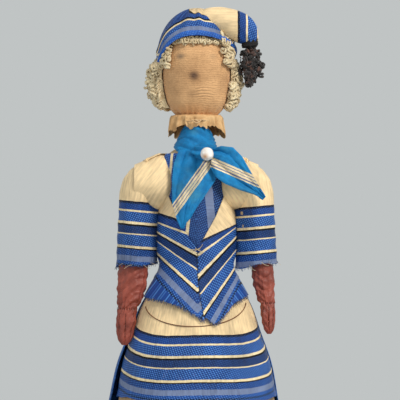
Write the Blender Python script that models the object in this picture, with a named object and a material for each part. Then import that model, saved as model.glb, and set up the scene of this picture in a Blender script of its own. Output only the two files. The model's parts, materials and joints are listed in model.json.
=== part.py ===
"""Cloth costume doll in a striped ribbon-silk dress: the solids of every separate piece, at rest.

Metres, +Z up, front towards -Y, origin on the floor under the middle of the hem. "left" and "right" are the
doll's own sides, so left is +X. Garments are shells wrapped round one shared figure and keep CLOTH_GAP apart.
"""
import math

import bmesh
import bpy
from mathutils import Matrix, Vector

# ---------------------------------------------------------------- driving dimensions
SKIRT_DROP = 0.219  # waist to floor
RIB_RISE = 0.0470  # waist up to the shoulder pivots
SHOULDER_RISE = 0.0180  # shoulder pivots up to the neck joint
NECK_LENGTH = 0.0165  # neck joint up to the head string
HEAD_HEIGHT = 0.045  # head string up to the crown
SHOULDER_X = 0.0275  # middle of the body out to a shoulder pivot
UPPER_ARM = 0.0440  # shoulder pivot to elbow
FOREARM = 0.036  # elbow to fingertips
WAIST_HALF_WIDTH = 0.0158
WAIST_HALF_DEPTH = 0.0124
SHOULDER_ROLL = 0.0046  # the padded seam that stands out over the sleeve head
NECK_RADIUS = 0.0060
HEAD_HALF_WIDTH = 0.017
HEAD_HALF_DEPTH = 0.0165
HEM_HALF_WIDTH = 0.056
HEM_HALF_DEPTH = 0.053
SLEEVE_HEAD = 0.0108  # the round head of the sleeve, about the shoulder pivot
SLEEVE_RADIUS = 0.0100
LEG_X = 0.0112  # middle of the body out to a hip pivot
THIGH_LENGTH = 0.080
SHIN_LENGTH = 0.0848
CLOTH = 0.0007  # a garment's thickness in the solid model
CLOTH_GAP = 0.0004  # air between neighbouring layers
LINEN = 0.0006  # the body bag's cloth
BUCKRAM = 0.0014  # the stiffened petticoat that the doll stands on
HEM_LIFT = 0.0005  # the silk ends just above the floor
RIBBON_WIDTH = 0.0535  # the skirt's tiers are about one ribbon deep
TIER_TUCK = 0.0013  # the top tier reaches up under the overskirt's hem
OVERSKIRT_DROP = 0.0585  # waist to the overskirt's hem
BASQUE_DROP = 0.021  # waist to the point of the bodice
BASQUE_SIDE_DROP = 0.0085  # waist to the bodice's edge at the hips
BEAD_RADIUS = 0.0032

# ---------------------------------------------------------------- heights and sizes that follow
WAIST_Z = SKIRT_DROP
SHOULDER_Z = WAIST_Z + RIB_RISE
NECK_Z = SHOULDER_Z + SHOULDER_RISE
STRING_Z = NECK_Z + NECK_LENGTH
CROWN_Z = STRING_Z + HEAD_HEIGHT
ELBOW_Z = SHOULDER_Z - UPPER_ARM
SOLE_GAP = 0.0012  # the boots hang just clear of the floor
KNEE_Z = SOLE_GAP + SHIN_LENGTH
HIP_Z = KNEE_Z + THIGH_LENGTH
HIP_BALL = 0.0088
LAYER = CLOTH + CLOTH_GAP
PETTICOAT_OFFSET = -2 * LAYER
UNDERSKIRT_OFFSET = -LAYER
JOINT_GAP = 0.0005  # air round a ball that turns
AROUND = 24  # facets round the body and skirts
LIMB_AROUND = 12
HEAD_AROUND = 20
FULL = 2 * math.pi
SKIRT_OUT = 2 * LAYER + BUCKRAM + CLOTH_GAP  # body to the overskirt's outer face at the waist
OVER_WAIST = SKIRT_OUT + 2 * CLOTH_GAP  # the basque clears all the skirts

# Colours of the pieces.
CREAM = (0.80, 0.66, 0.46)
BLUE = (0.05, 0.15, 0.42)
TURQUOISE = (0.03, 0.26, 0.48)
CALICO = (0.72, 0.60, 0.44)
FLESH = (0.66, 0.45, 0.26)
WOOL = (0.72, 0.60, 0.38)
LEATHER = (0.33, 0.075, 0.05)
BLACK = (0.012, 0.010, 0.010)
PEARL = (0.90, 0.86, 0.80)
STEEL = (0.60, 0.60, 0.62)
SAWDUST = (0.60, 0.44, 0.26)
WHITE = (0.78, 0.75, 0.68)


# ---------------------------------------------------------------- sections
# Each row: height, half width, depth in front of the middle, depth behind it.
def torso_rows():
    rib, hip = RIB_RISE, WAIST_Z - HIP_Z
    wide, deep = WAIST_HALF_WIDTH, WAIST_HALF_DEPTH
    return [
        (HIP_Z + 0.20 * hip, wide - 0.0040, deep - 0.004, deep - 0.004),
        (HIP_Z + 0.27 * hip, wide + 0.0025, deep + 0.001, deep + 0.002),
        (HIP_Z + 0.50 * hip, wide + 0.0055, deep + 0.004, deep + 0.005),
        (HIP_Z + 0.80 * hip, wide + 0.0025, deep + 0.0015, deep + 0.003),
        (WAIST_Z, wide, deep, deep),
        (WAIST_Z + 0.30 * rib, wide + 0.0012, deep + 0.0016, deep + 0.0011),
        (WAIST_Z + 0.62 * rib, wide + 0.0008, deep + 0.0032, deep + 0.0018),
        (WAIST_Z + 0.85 * rib, wide - 0.0002, deep + 0.0030, deep + 0.0019),
        (SHOULDER_Z + 0.20 * SHOULDER_RISE, wide + 0.0006, deep + 0.0016, deep + 0.0008),
        (SHOULDER_Z + 0.58 * SHOULDER_RISE, wide + 0.0006, deep + 0.0002, deep - 0.0006),
        (SHOULDER_Z + 0.66 * SHOULDER_RISE, wide + 0.0004, deep - 0.0004, deep - 0.0012),
        (SHOULDER_Z + 0.80 * SHOULDER_RISE, wide - 0.0008, deep - 0.0012, deep - 0.0020),
        (SHOULDER_Z + 0.95 * SHOULDER_RISE, NECK_RADIUS + 0.0052, NECK_RADIUS + 0.0030, NECK_RADIUS + 0.0028),
    ]


def skirt_rows():
    """The overskirt's outer face, carried on down to the floor as the underskirt's line."""
    side = WAIST_HALF_WIDTH + SKIRT_OUT
    face = WAIST_HALF_DEPTH + SKIRT_OUT
    return [
        (0.0, HEM_HALF_WIDTH, HEM_HALF_DEPTH, HEM_HALF_DEPTH),
        (WAIST_Z - OVERSKIRT_DROP, side + 0.0197, face + 0.0170, face + 0.0200),
        (WAIST_Z - 0.042, side + 0.0168, face + 0.0142, face + 0.0182),
        (WAIST_Z - 0.027, side + 0.0118, face + 0.0105, face + 0.0155),
        (WAIST_Z - 0.0145, side + 0.0076, face + 0.0064, face + 0.0110),
        (WAIST_Z - 0.0065, side + 0.0036, face + 0.0030, face + 0.0054),
        (WAIST_Z, side, face, face),
    ]


def head_rows():
    def row(share, width, front, back):
        return (
            STRING_Z + share * HEAD_HEIGHT,
            width * HEAD_HALF_WIDTH,
            front * HEAD_HALF_DEPTH,
            back * HEAD_HALF_DEPTH,
        )

    return [
        row(0.01, 0.44, 0.44, 0.44),
        row(0.05, 0.64, 0.62, 0.62),
        row(0.11, 0.80, 0.76, 0.76),
        row(0.23, 0.94, 0.88, 0.92),
        row(0.38, 1.00, 0.95, 1.02),
        row(0.54, 1.00, 0.98, 1.06),
        row(0.70, 0.92, 0.94, 1.02),
        row(0.83, 0.76, 0.80, 0.88),
        row(0.93, 0.52, 0.55, 0.62),
        row(0.99, 0.22, 0.24, 0.26),
    ]


TORSO = torso_rows()
SKIRT = skirt_rows()
HEAD = head_rows()


def section(rows, height):
    """Half width, front depth and back depth at a height, along straight lines between the rows."""
    if height <= rows[0][0]:
        return rows[0][1:]
    for below, above in zip(rows, rows[1:]):
        if height <= above[0]:
            share = (height - below[0]) / (above[0] - below[0])
            return tuple(a + share * (b - a) for a, b in zip(below[1:], above[1:]))
    return rows[-1][1:]


def levels(rows, low, high):
    """The rows' own heights between two ends, with the ends, so that nested shells keep their gap."""
    near = 0.0008
    inside = [row[0] for row in rows if low + near < row[0] < high - near]
    return [low, *inside, high]


def on_oval(rows, turn, height, offset):
    """The point on the figure at a turn from the front centre, positive towards +X."""
    wide, front, back = section(rows, height)
    deep = front if math.cos(turn) > 0 else back
    return Vector(((wide + offset) * math.sin(turn), -(deep + offset) * math.cos(turn), height))


def oval(rows, height, offset, around=AROUND):
    return [on_oval(rows, FULL * i / around, height, offset) for i in range(around)]


def circle(x, y, z, half_width, half_depth=None, around=LIMB_AROUND):
    deep = half_width if half_depth is None else half_depth
    turns = [FULL * i / around for i in range(around)]
    return [Vector((x + half_width * math.sin(t), y - deep * math.cos(t), z)) for t in turns]


# ---------------------------------------------------------------- building blocks
def material(name, colour, roughness, metallic=0.0):
    made = bpy.data.materials.new(name)
    made.use_nodes = True
    shader = made.node_tree.nodes["Principled BSDF"]
    shader.inputs["Base Color"].default_value = (*colour, 1.0)
    shader.inputs["Roughness"].default_value = roughness
    shader.inputs["Metallic"].default_value = metallic
    return made


def body(name, pivot, parent=None):
    """An empty on a joint's axis, which carries every piece of one moving body."""
    empty = bpy.data.objects.new(name, None)
    bpy.context.scene.collection.objects.link(empty)
    empty["pivot"] = pivot
    if parent is not None:
        empty.parent = parent
        empty.location = Vector(pivot) - Vector(parent["pivot"])
    else:
        empty.location = pivot
    return empty


def add(name, shape, carrier, finish):
    """Makes the object of a bmesh whose points are in the doll's frame, with its origin on the body's pivot."""
    bmesh.ops.recalc_face_normals(shape, faces=shape.faces)
    if shape.calc_volume(signed=True) < 0:
        bmesh.ops.reverse_faces(shape, faces=shape.faces)
    bmesh.ops.triangulate(shape, faces=[f for f in shape.faces if len(f.verts) > 4])
    mesh = bpy.data.meshes.new(name)
    shape.to_mesh(mesh)
    shape.free()
    mesh.transform(Matrix.Translation(-Vector(carrier["pivot"])))
    mesh.materials.append(finish)
    mesh.shade_smooth()
    made = bpy.data.objects.new(name, mesh)
    bpy.context.scene.collection.objects.link(made)
    made.parent = carrier
    return made


def lofted(rings, closed=False):
    """Skins rings of equal count. A closed run joins its last ring to its first, and an open one is capped."""
    shape = bmesh.new()
    rows = [[shape.verts.new(p) for p in ring] for ring in rings]
    pairs = list(zip(rows, rows[1:]))
    if closed:
        pairs.append((rows[-1], rows[0]))
    for low, high in pairs:
        for i in range(len(low)):
            j = (i + 1) % len(low)
            shape.faces.new((low[i], low[j], high[j], high[i]))
    if not closed:
        shape.faces.new(list(reversed(rows[0])))
        shape.faces.new(rows[-1])
    return shape


def cup(outer, inner):
    """A bag of cloth: both lists of rings run from its mouth to its closed end."""
    return lofted([*reversed(inner), *outer])


def slab(inner, outer):
    """Closes two grids of equal size, an inner and an outer face, along their four edges."""
    shape = bmesh.new()
    up, across = len(inner) - 1, len(inner[0]) - 1
    faces = [[[shape.verts.new(p) for p in row] for row in grid] for grid in (inner, outer)]
    for grid in faces:
        for j in range(up):
            for i in range(across):
                shape.faces.new((grid[j][i], grid[j][i + 1], grid[j + 1][i + 1], grid[j + 1][i]))
    edge = [(0, i) for i in range(across)] + [(j, across) for j in range(up)]
    edge += [(up, i) for i in range(across, 0, -1)] + [(j, 0) for j in range(up, 0, -1)]
    near, far = faces
    for (j, i), (k, m) in zip(edge, edge[1:] + edge[:1]):
        shape.faces.new((near[j][i], near[k][m], far[k][m], far[j][i]))
    return shape


def panel(turns, across, heights, point):
    """A sewn panel with a thickness. turns(j) and heights(turn, j) place its rows, point its two faces."""
    grids = ([], [])
    for side, grid in enumerate(grids):
        for j in range(heights(0.0, -1)):
            first, last = turns(j)
            row = []
            for i in range(across + 1):
                turn = first + (last - first) * i / across
                row.append(point(turn, heights(turn, j), side))
            grid.append(row)
    return slab(*grids)


def wrapped(rows, turns, low, high, inner, outer, across):
    """A panel that follows the figure's rows between two turns. Its offsets may be functions of height."""
    steps = levels(rows, low, high)

    def offset(side, turn, height):
        value = outer if side else inner
        return value(turn, height) if callable(value) else value

    def edges(j):
        share = j / (len(steps) - 1)
        return [t(share) if callable(t) else t for t in turns]

    return panel(
        edges,
        across,
        lambda _, j: len(steps) if j < 0 else steps[j],
        lambda turn, height, side: on_oval(rows, turn, height, offset(side, turn, height)),
    )


def belt(rows, low, high, inner, outer, around=AROUND):
    """A shell that runs right round the figure and is open above and below."""
    heights = levels(rows, low, high)
    outside = [oval(rows, h, outer, around) for h in heights]
    inside = [oval(rows, h, inner, around) for h in reversed(heights)]
    return lofted(outside + inside, closed=True)


def cut(target, cutter):
    modifier = target.modifiers.new("cut", "BOOLEAN")
    modifier.operation = "DIFFERENCE"
    modifier.object = cutter
    modifier.solver = "EXACT"


def helper(name, shape, carrier, finish):
    made = add(name, shape, carrier, finish)
    made.hide_render = True
    made.display_type = "WIRE"
    return made


def ball(x, y, z, radius, around=24, rings=12):
    """A round solid as rings, with its poles on the Z axis."""
    shape = bmesh.new()
    bmesh.ops.create_uvsphere(shape, u_segments=around, v_segments=rings, radius=radius)
    bmesh.ops.translate(shape, verts=shape.verts, vec=(x, y, z))
    return shape


def room_ball(x, z, radius, around=16, rings=10):
    """A ball whose flats, not its corners, are at the radius, so what it cuts clears a true ball."""
    flat = math.cos(math.pi / around) * math.cos(math.pi / (2 * rings))
    return ball(x, 0, z, radius / flat, around, rings)


def rod(start, end, radius, around=16):
    """A plain cylinder between two points."""
    start, end = Vector(start), Vector(end)
    shape = bmesh.new()
    bmesh.ops.create_cone(
        shape,
        cap_ends=True,
        segments=around,
        radius1=radius,
        radius2=radius,
        depth=(end - start).length,
    )
    turn = (end - start).to_track_quat("Z", "Y").to_matrix().to_4x4()
    shape.transform(Matrix.Translation((start + end) / 2) @ turn)
    return shape


def swept(path, around=12):
    """A soft tube through (x, y, z, radius) stations, its rings square to the path."""
    points = [Vector(p[:3]) for p in path]
    rings = []
    for i, (x, y, z, radius) in enumerate(path):
        ahead = points[min(i + 1, len(points) - 1)] - points[max(i - 1, 0)]
        side = ahead.cross(Vector((0, 1, 0))).normalized()
        up = side.cross(ahead).normalized()
        turns = [FULL * k / around for k in range(around)]
        rings.append([Vector((x, y, z)) + radius * (side * math.cos(t) + up * math.sin(t)) for t in turns])
    return lofted(rings)


# ---------------------------------------------------------------- torso and dress
def make_torso(carrier, cloth, filling, arm_room):
    """The linen body bag, open at the neck, and the sawdust packed in it."""
    heights = [row[0] for row in TORSO]
    outer = [oval(TORSO, h, 0) for h in reversed(heights)]
    inner_heights = [TORSO[0][0] + LINEN, *heights[1:]]
    inner = [oval(TORSO, h, -LINEN) for h in reversed(inner_heights)]
    cover = add("torso_cover", cup(outer, inner), carrier, cloth)
    gap = LINEN + 0.0003
    packed = [TORSO[0][0] + gap, *heights[1:-2], heights[-2] - 0.0022]
    stuffing = add("torso_stuffing", lofted([oval(TORSO, h, -gap) for h in packed]), carrier, filling)
    for piece in (cover, stuffing):
        for room in arm_room:
            cut(piece, room)


def bodice_offset(height):
    """The bodice lies close to the ribs and passes over the skirts' bands at the waist."""
    close = 2 * CLOTH_GAP + CLOTH
    share = min(1.0, max(0.0, (height - WAIST_Z - BAND_START) / BAND_DEPTH))
    return OVER_WAIST + (close - OVER_WAIST) * share


def bodice_bottom(turn):
    """The lower edge: a deep point at the front centre, level over the hips and behind."""
    side = WAIST_Z - BASQUE_SIDE_DROP
    share = min(1.0, abs(math.sin(turn)) / 0.55) if math.cos(turn) > 0 else 1.0
    return WAIST_Z - BASQUE_DROP + (side - (WAIST_Z - BASQUE_DROP)) * share


def bodice_point(turn, height, side):
    """On the ribs above the waist, and on the skirts below it. Its shoulders are padded outwards."""
    if height >= WAIST_Z:
        thick = CLOTH + shoulder_roll(turn, height)
        return on_oval(TORSO, turn, height, bodice_offset(height) + side * thick)
    return on_oval(SKIRT, turn, height, 2 * CLOTH_GAP + side * CLOTH)


def shoulder_roll(turn, height):
    """How much thicker the padded shoulder is, at the sides and above the sleeve head only."""
    share = (height - SHOULDER_Z) / SHOULDER_RISE
    table = ((0.58, 0.0), (0.66, 1.0), (0.80, 0.75), (0.95, 0.15))
    if not table[0][0] < share < table[-1][0]:
        return 0.0
    for (low, a), (high, b) in zip(table, table[1:]):
        if share <= high:
            rise = a + (b - a) * (share - low) / (high - low)
            return SHOULDER_ROLL * rise * max(0.0, (abs(math.sin(turn)) - 0.6) / 0.4)
    return 0.0


BAND_START = 0.001
BAND_DEPTH = 0.006
NECK_EDGE_TURN = math.radians(40)
SIDE_SEAM = math.radians(105)
V_POINT_Z = 0.0165  # waist up to the foot of the V neck
BASQUE_STEPS = 4  # rows of the basque, below the waist


def make_bodice(carrier, silk, figured, arm_room):
    """Two fronts that close below a V neck and run to a point, a back, and the vest front in the V."""
    top = SHOULDER_Z + 0.88 * SHOULDER_RISE
    v_point = WAIST_Z + V_POINT_Z
    above = levels(TORSO, WAIST_Z, top)
    above = sorted([*above, WAIST_Z + BAND_START, WAIST_Z + BAND_START + BAND_DEPTH, v_point])
    meet = CLOTH_GAP / 2 / WAIST_HALF_WIDTH

    def heights(turn, j):
        if j < 0:
            return BASQUE_STEPS + len(above)
        if j >= BASQUE_STEPS:
            return above[j - BASQUE_STEPS]
        return bodice_bottom(turn) + (WAIST_Z - bodice_bottom(turn)) * j / BASQUE_STEPS

    def inner_turn(j):
        spread = max(0.0, (heights(0.0, j) - v_point) / (top - v_point))
        return meet + (NECK_EDGE_TURN - meet) * spread**0.8

    seam = SIDE_SEAM + 0.02
    pieces = [
        ("bodice_front_left", lambda j: (inner_turn(j), SIDE_SEAM), 7),
        ("bodice_front_right", lambda j: (-inner_turn(j), -SIDE_SEAM), 7),
        ("bodice_back", lambda j: (seam, FULL - seam), 10),
    ]
    for name, turns, across in pieces:
        piece = add(name, panel(turns, across, heights, bodice_point), carrier, silk)
        for room in arm_room:
            cut(piece, room)
    tuck = math.radians(14)
    turns = (lambda s: -tuck - 0.45 * s, lambda s: tuck + 0.45 * s)
    vest = wrapped(TORSO, turns, v_point - 0.006, top - 0.001, CLOTH_GAP, CLOTH_GAP + 0.8 * CLOTH, 6)
    add("vest_front", vest, carrier, figured)
    band = belt(TORSO, WAIST_Z + CLOTH_GAP, WAIST_Z + 0.0042, CLOTH_GAP, LAYER)
    add("waistband", band, carrier, silk)


def make_skirts(carrier, silk, lining):
    """Petticoat, plain yoke, three ribbon tiers in front and back halves, overskirt front and back drape."""
    hem = WAIST_Z - OVERSKIRT_DROP
    top = PETTICOAT_OFFSET
    add("petticoat", belt(SKIRT, 0.0, WAIST_Z, top - BUCKRAM, top), carrier, lining)
    tiers = max(1, round((hem - HEM_LIFT) / RIBBON_WIDTH))
    tier_step = (hem + TIER_TUCK - HEM_LIFT + CLOTH_GAP) / tiers
    yoke_low = HEM_LIFT + tiers * tier_step
    under = UNDERSKIRT_OFFSET
    add("underskirt_yoke", belt(SKIRT, yoke_low, WAIST_Z, under - CLOTH, under), carrier, lining)
    seam = math.radians(90)
    slit = 0.006
    for tier in range(tiers):
        low = HEM_LIFT + tier * tier_step
        high = low + tier_step - CLOTH_GAP
        for half, start in (("front", -seam), ("back", seam)):
            shape = wrapped(
                SKIRT, (start + slit, start + math.pi - slit), low, high, under - CLOTH, under, AROUND // 2
            )
            add(f"underskirt_tier_{tiers - tier}_{half}", shape, carrier, silk)
    edge = math.radians(105)
    front = wrapped(SKIRT, (-edge, edge), hem, WAIST_Z, -CLOTH, 0, 14)
    add("overskirt_front", front, carrier, silk)

    def puff(turn, height):
        """The back drape stands out over the seat, then falls straight. Its side edges lie flat."""
        middle = math.sin(math.pi * (turn - edge) / (FULL - 2 * edge))
        share = (WAIST_Z - height - BASQUE_SIDE_DROP) / 0.075
        return 0.0034 * max(0.0, middle) * math.sin(math.pi * min(1.0, max(0.0, share)))

    drape = wrapped(
        SKIRT,
        (edge + 0.012, FULL - edge - 0.012),
        DRAPE_HEM_Z,
        WAIST_Z,
        lambda t, h: puff(t, h) - CLOTH,
        puff,
        10,
    )
    add("back_drape", drape, carrier, silk)


DRAPE_HEM_Z = 0.055


# ---------------------------------------------------------------- scarf
def chest_y(x, z, offset):
    """How far forward the bodice's outer face lies at a place on the chest."""
    wide, front, _ = section(TORSO, z)
    roll, share = 0.0, 0.0
    for _ in range(6):
        out = 2 * LAYER + offset + roll
        share = min(0.96, abs(x) / (wide + out))
        roll = shoulder_roll(math.asin(share), z)
    return -(front + out) * math.sqrt(1 - share * share)


def flat_piece(outline, thickness, offset):
    """A ribbon end laid on the chest: its outline is two edges of equal count, listed from the knot."""
    across = 4
    grids = ([], [])
    for side, grid in enumerate(grids):
        for (xa, za), (xb, zb) in zip(*outline):
            places = [(xa + (xb - xa) * i / across, za + (zb - za) * i / across) for i in range(across + 1)]
            grid.append([Vector((x, chest_y(x, z, offset + side * thickness), z)) for x, z in places])
    return slab(*grids)


def make_scarf(carrier, silk, pearl, steel):
    """A kerchief round the neck, its knot, two ribbon ends, and the bead-headed pin that holds it."""
    knot_x, knot_z = 0.0052, NECK_Z - 0.0035
    knot_y = chest_y(knot_x, knot_z, 0.0042)
    low, high, rise = NECK_Z + 0.0002, NECK_Z + 0.0050, 0.0065
    rows = [
        (low, NECK_RADIUS + 0.0026, NECK_RADIUS + 0.0026, NECK_RADIUS + 0.0026),
        (high + rise, NECK_RADIUS + 0.0036, NECK_RADIUS + 0.0070, NECK_RADIUS + 0.0036),
    ]
    outside, inside = [], []
    for share in (0.0, 0.5, 1.0):
        for rings, offset in ((outside, CLOTH), (inside, 0.0)):
            ring = []
            for i in range(AROUND):
                turn = FULL * i / AROUND
                lift = rise * max(0.0, math.cos(turn)) ** 1.2
                ring.append(on_oval(rows, turn, low + share * (high + lift - low), offset))
            rings.append(ring)
    add("scarf_band", lofted(outside + inside[::-1], closed=True), carrier, silk)
    knot = ball(0, 0, 0, 1.0, 12, 8)
    knot.transform(Matrix.Translation((knot_x, knot_y, knot_z)) @ Matrix.Diagonal((0.0042, 0.0028, 0.0036, 1)))
    knot_piece = add("scarf_knot", knot, carrier, silk)
    bead_y = knot_y - 0.0028 - BEAD_RADIUS
    bead = add("pearl_bead", ball(knot_x, bead_y, knot_z, BEAD_RADIUS, 16, 10), carrier, pearl)
    pin_radius = 0.0004
    pin = rod((knot_x, knot_y + 0.0024, knot_z), (knot_x, bead_y - BEAD_RADIUS - 0.0003, knot_z), pin_radius, 8)
    add("bead_pin", pin, carrier, steel)
    room = helper(
        "pin_room",
        rod(
            (knot_x, knot_y + 0.01, knot_z),
            (knot_x, bead_y - BEAD_RADIUS - 0.002, knot_z),
            pin_radius + 0.0003,
            8,
        ),
        carrier,
        steel,
    )
    for piece in (knot_piece, bead):
        cut(piece, room)
    right_end = (
        [(knot_x - 0.0085, knot_z + 0.001), (-0.0105, knot_z - 0.009), (-0.0122, knot_z - 0.020),
         (-0.0105, knot_z - 0.029), (-0.0070, knot_z - 0.0365)],
        [(knot_x - 0.0050, knot_z - 0.0045), (0.0040, knot_z - 0.0075), (0.0075, knot_z - 0.0145),
         (0.0010, knot_z - 0.0255), (-0.0058, knot_z - 0.0362)],
    )
    left_end = (
        [(knot_x + 0.0050, knot_z + 0.0005), (0.0130, knot_z - 0.0002), (0.0165, knot_z - 0.0030)],
        [(knot_x + 0.0040, knot_z - 0.0045), (0.0120, knot_z - 0.0085), (0.0168, knot_z - 0.0115)],
    )
    add("scarf_end_right", flat_piece(right_end, CLOTH, 0.0011), carrier, silk)
    add("scarf_end_left", flat_piece(left_end, CLOTH, 0.0022), carrier, silk)


# ---------------------------------------------------------------- neck and head
def make_neck(carrier, linen, thread):
    """The rolled linen neck, the string that binds the head cloth to it, and that cloth's loose frill."""
    top = STRING_Z - 0.0006
    heights = (NECK_Z - 0.0045, NECK_Z, top)
    radii = (NECK_RADIUS - 0.0008, NECK_RADIUS, NECK_RADIUS)
    add("neck_roll", lofted([circle(0, 0, z, r) for z, r in zip(heights, radii)]), carrier, linen)
    wound = NECK_RADIUS + CLOTH_GAP
    thick = 0.0011
    rings = [
        circle(0, 0, top - 0.0026, wound),
        circle(0, 0, top - 0.0026, wound + thick),
        circle(0, 0, top - 0.0002, wound + thick),
        circle(0, 0, top - 0.0002, wound),
    ]
    add("neck_string", lofted(rings, closed=True), carrier, thread)
    frill_top = top - 0.0030
    outside, inside = [], []
    for share in (0.0, 0.5, 1.0):
        for rings, offset in ((outside, 0.0008), (inside, 0.0)):
            ring = []
            for i in range(AROUND):
                turn = FULL * i / AROUND
                loose = min(1.0, max(0.0, 0.35 - math.cos(turn)) / 0.75)
                drop = 0.0040 + 0.0040 * loose
                spread = NECK_RADIUS + 0.0006 + (0.0018 + 0.0047 * loose) * share
                wave = 1 + 0.06 * share * math.sin(8 * turn)
                radius = (spread + offset) * wave
                ring.append(Vector((radius * math.sin(turn), -radius * math.cos(turn), frill_top - drop * share)))
            rings.append(ring)
    add("neck_frill", lofted(outside + inside[::-1], closed=True), carrier, linen)


CAP_OFFSET = 0.0032


def cap_edge(turn):
    """The cap sits high over the brow and comes down low at the back."""
    front = STRING_Z + 0.82 * HEAD_HEIGHT
    back = STRING_Z + 0.54 * HEAD_HEIGHT
    return back + (front - back) * (0.5 + 0.5 * math.cos(turn)) ** 1.4


def make_head(carrier, skin, filling, wool, silk, black):
    heights = [row[0] for row in HEAD]
    outer = [oval(HEAD, h, 0, HEAD_AROUND) for h in heights]
    inner = [oval(HEAD, h, -LINEN, HEAD_AROUND) for h in [*heights[:-1], heights[-1] - LINEN]]
    add("head_cover", cup(outer, inner), carrier, skin)
    gap = LINEN + 0.0003
    packed = [*heights[:-2], heights[-2] - gap]
    add("head_stuffing", lofted([oval(HEAD, h, -gap, HEAD_AROUND) for h in packed]), carrier, filling)
    low, high = STRING_Z + 0.07 * HEAD_HEIGHT, STRING_Z + 0.60 * HEAD_HEIGHT
    hair_top = STRING_Z + 0.80 * HEAD_HEIGHT

    def curls(turn, height):
        """Bulges below the cap's edge and stays under it above. The left side is flatter, behind the tassel."""
        full = 0.0078 - 0.0015 * (1 + math.sin(turn))
        bulge = full - 0.0028 * abs((height - low) / (high - low) - 0.35)
        jaw = HEAD_HALF_WIDTH - section(HEAD, height)[0]
        under = CAP_OFFSET - 2 * CLOTH_GAP
        share = min(1.0, max(0.0, (height - (STRING_Z + 0.42 * HEAD_HEIGHT)) / (0.12 * HEAD_HEIGHT)))
        return (bulge + jaw) * (1 - share) + under * share

    side = (math.radians(55), math.radians(112))
    for name, sign in (("hair_left", 1), ("hair_right", -1)):
        turns = (sign * side[0], sign * side[1])
        add(name, wrapped(HEAD, turns, low, high, 2 * CLOTH_GAP, curls, 5), carrier, wool)
    nape = wrapped(HEAD, (side[1] + 0.03, FULL - side[1] - 0.03), low, high, 2 * CLOTH_GAP, curls, 10)
    add("hair_back", nape, carrier, wool)
    brow = wrapped(
        HEAD,
        (-side[0] + 0.03, side[0] - 0.03),
        STRING_Z + 0.71 * HEAD_HEIGHT,
        hair_top,
        CLOTH_GAP,
        CAP_OFFSET - 2 * CLOTH_GAP,
        8,
    )
    add("hair_fringe", brow, carrier, wool)
    make_cap(carrier, silk, black)


CAP_KNOT = (HEAD_HALF_WIDTH + 0.0100, -0.0040)


def make_cap(carrier, silk, black):
    """A ribbon band round the head, and a bag whose loose end falls to the left, tied off with a black knot."""
    crown = STRING_Z + 0.90 * HEAD_HEIGHT
    band_rows = [(h, w + 0.0, f, b) for h, w, f, b in HEAD if h < crown]
    full = section(HEAD, STRING_Z + 0.60 * HEAD_HEIGHT)
    band_rows = [
        (STRING_Z + 0.50 * HEAD_HEIGHT, *full),
        (STRING_Z + 0.70 * HEAD_HEIGHT, *full),
        (crown, *(0.90 * s for s in full)),
    ]
    outside, inside = [], []
    for share in (0.0, 0.33, 0.66, 1.0):
        for rings, offset in ((outside, CAP_OFFSET + CLOTH), (inside, CAP_OFFSET)):
            ring = []
            for i in range(AROUND):
                turn = FULL * i / AROUND
                low = cap_edge(turn)
                ring.append(on_oval(band_rows, turn, low + share * (crown - low), offset))
            rings.append(ring)
    add("cap_band", lofted(outside + inside[::-1], closed=True), carrier, silk)
    base = crown + CLOTH_GAP
    wide, front, back = (s + CAP_OFFSET for s in section(band_rows, crown))
    rise = CROWN_Z + 0.0085 - base
    dome_outer, dome_inner = [], []
    for angle in (0, 30, 58, 80):
        lean = math.radians(angle)
        for rings, shrink in ((dome_outer, 0.0), (dome_inner, CLOTH)):
            row = [
                (
                    base,
                    (wide - shrink) * math.cos(lean),
                    (front - shrink) * math.cos(lean),
                    (back - shrink) * math.cos(lean),
                )
            ]
            rings.append(oval(row, base + (rise - shrink) * math.sin(lean), 0, HEAD_AROUND))
    dome_inner[0] = [Vector((p.x, p.y, base)) for p in dome_inner[0]]
    bag = add("cap_bag", cup(dome_outer, dome_inner), carrier, silk)
    knot_z = STRING_Z + 0.80 * HEAD_HEIGHT
    knot_x, knot_y = CAP_KNOT
    top = CROWN_Z
    fall = [
        (0.0060, 0.0, top + 0.0035, 0.0042),
        (0.0120, -0.0005, top + 0.0040, 0.0062),
        (knot_x - 0.0070, -0.0010, top + 0.0026, 0.0060),
        (knot_x - 0.0015, -0.0025, top - 0.0022, 0.0046),
        (knot_x, knot_y, knot_z + 0.0030, 0.0030),
    ]
    tail = helper("cap_fall", swept(fall), carrier, silk)
    join = bag.modifiers.new("fall", "BOOLEAN")
    join.operation = "UNION"
    join.object = tail
    join.solver = "EXACT"
    lump = ball(0, 0, 0, 1.0, 12, 6)
    lump.transform(
        Matrix.Translation((knot_x, knot_y, knot_z - 0.0008)) @ Matrix.Diagonal((0.0046, 0.0040, 0.0022, 1))
    )
    add("cap_knot", lump, carrier, black)


def tassel_pivot():
    x, y = CAP_KNOT
    return (x, y, STRING_Z + 0.80 * HEAD_HEIGHT - 0.0033)


def make_tassel(carrier, black):
    """Curled black wool bobbles that hang from the knot."""
    x, y, top = carrier["pivot"]
    profile = ((-0.0010, 0.0011), (-0.0035, 0.0032), (-0.008, 0.0050), (-0.013, 0.0050), (-0.020, 0.0016))
    rings = [circle(x + 0.0004, y, top + dz, r) for dz, r in profile]
    add("tassel", lofted(rings), carrier, black)


# ---------------------------------------------------------------- arms and legs
TAB_RADIUS = 0.0028
CUFF_REACH = 0.00669  # the skirt's side at the wrist out to the elbow's axis, so that the hand clears the hip
ELBOW_OUT = section(SKIRT, ELBOW_Z - 0.27 * FOREARM)[0] + CUFF_REACH - SHOULDER_X


def ball_top(x, z, radius, lean_steps=(78, 54, 30, 10)):
    """Rings of the round end above a limb's pivot, from its top down."""
    rings = []
    for angle in lean_steps:
        lean = math.radians(angle)
        rings.append(circle(x, 0, z + radius * math.sin(lean), radius * math.cos(lean)))
    return rings


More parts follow.
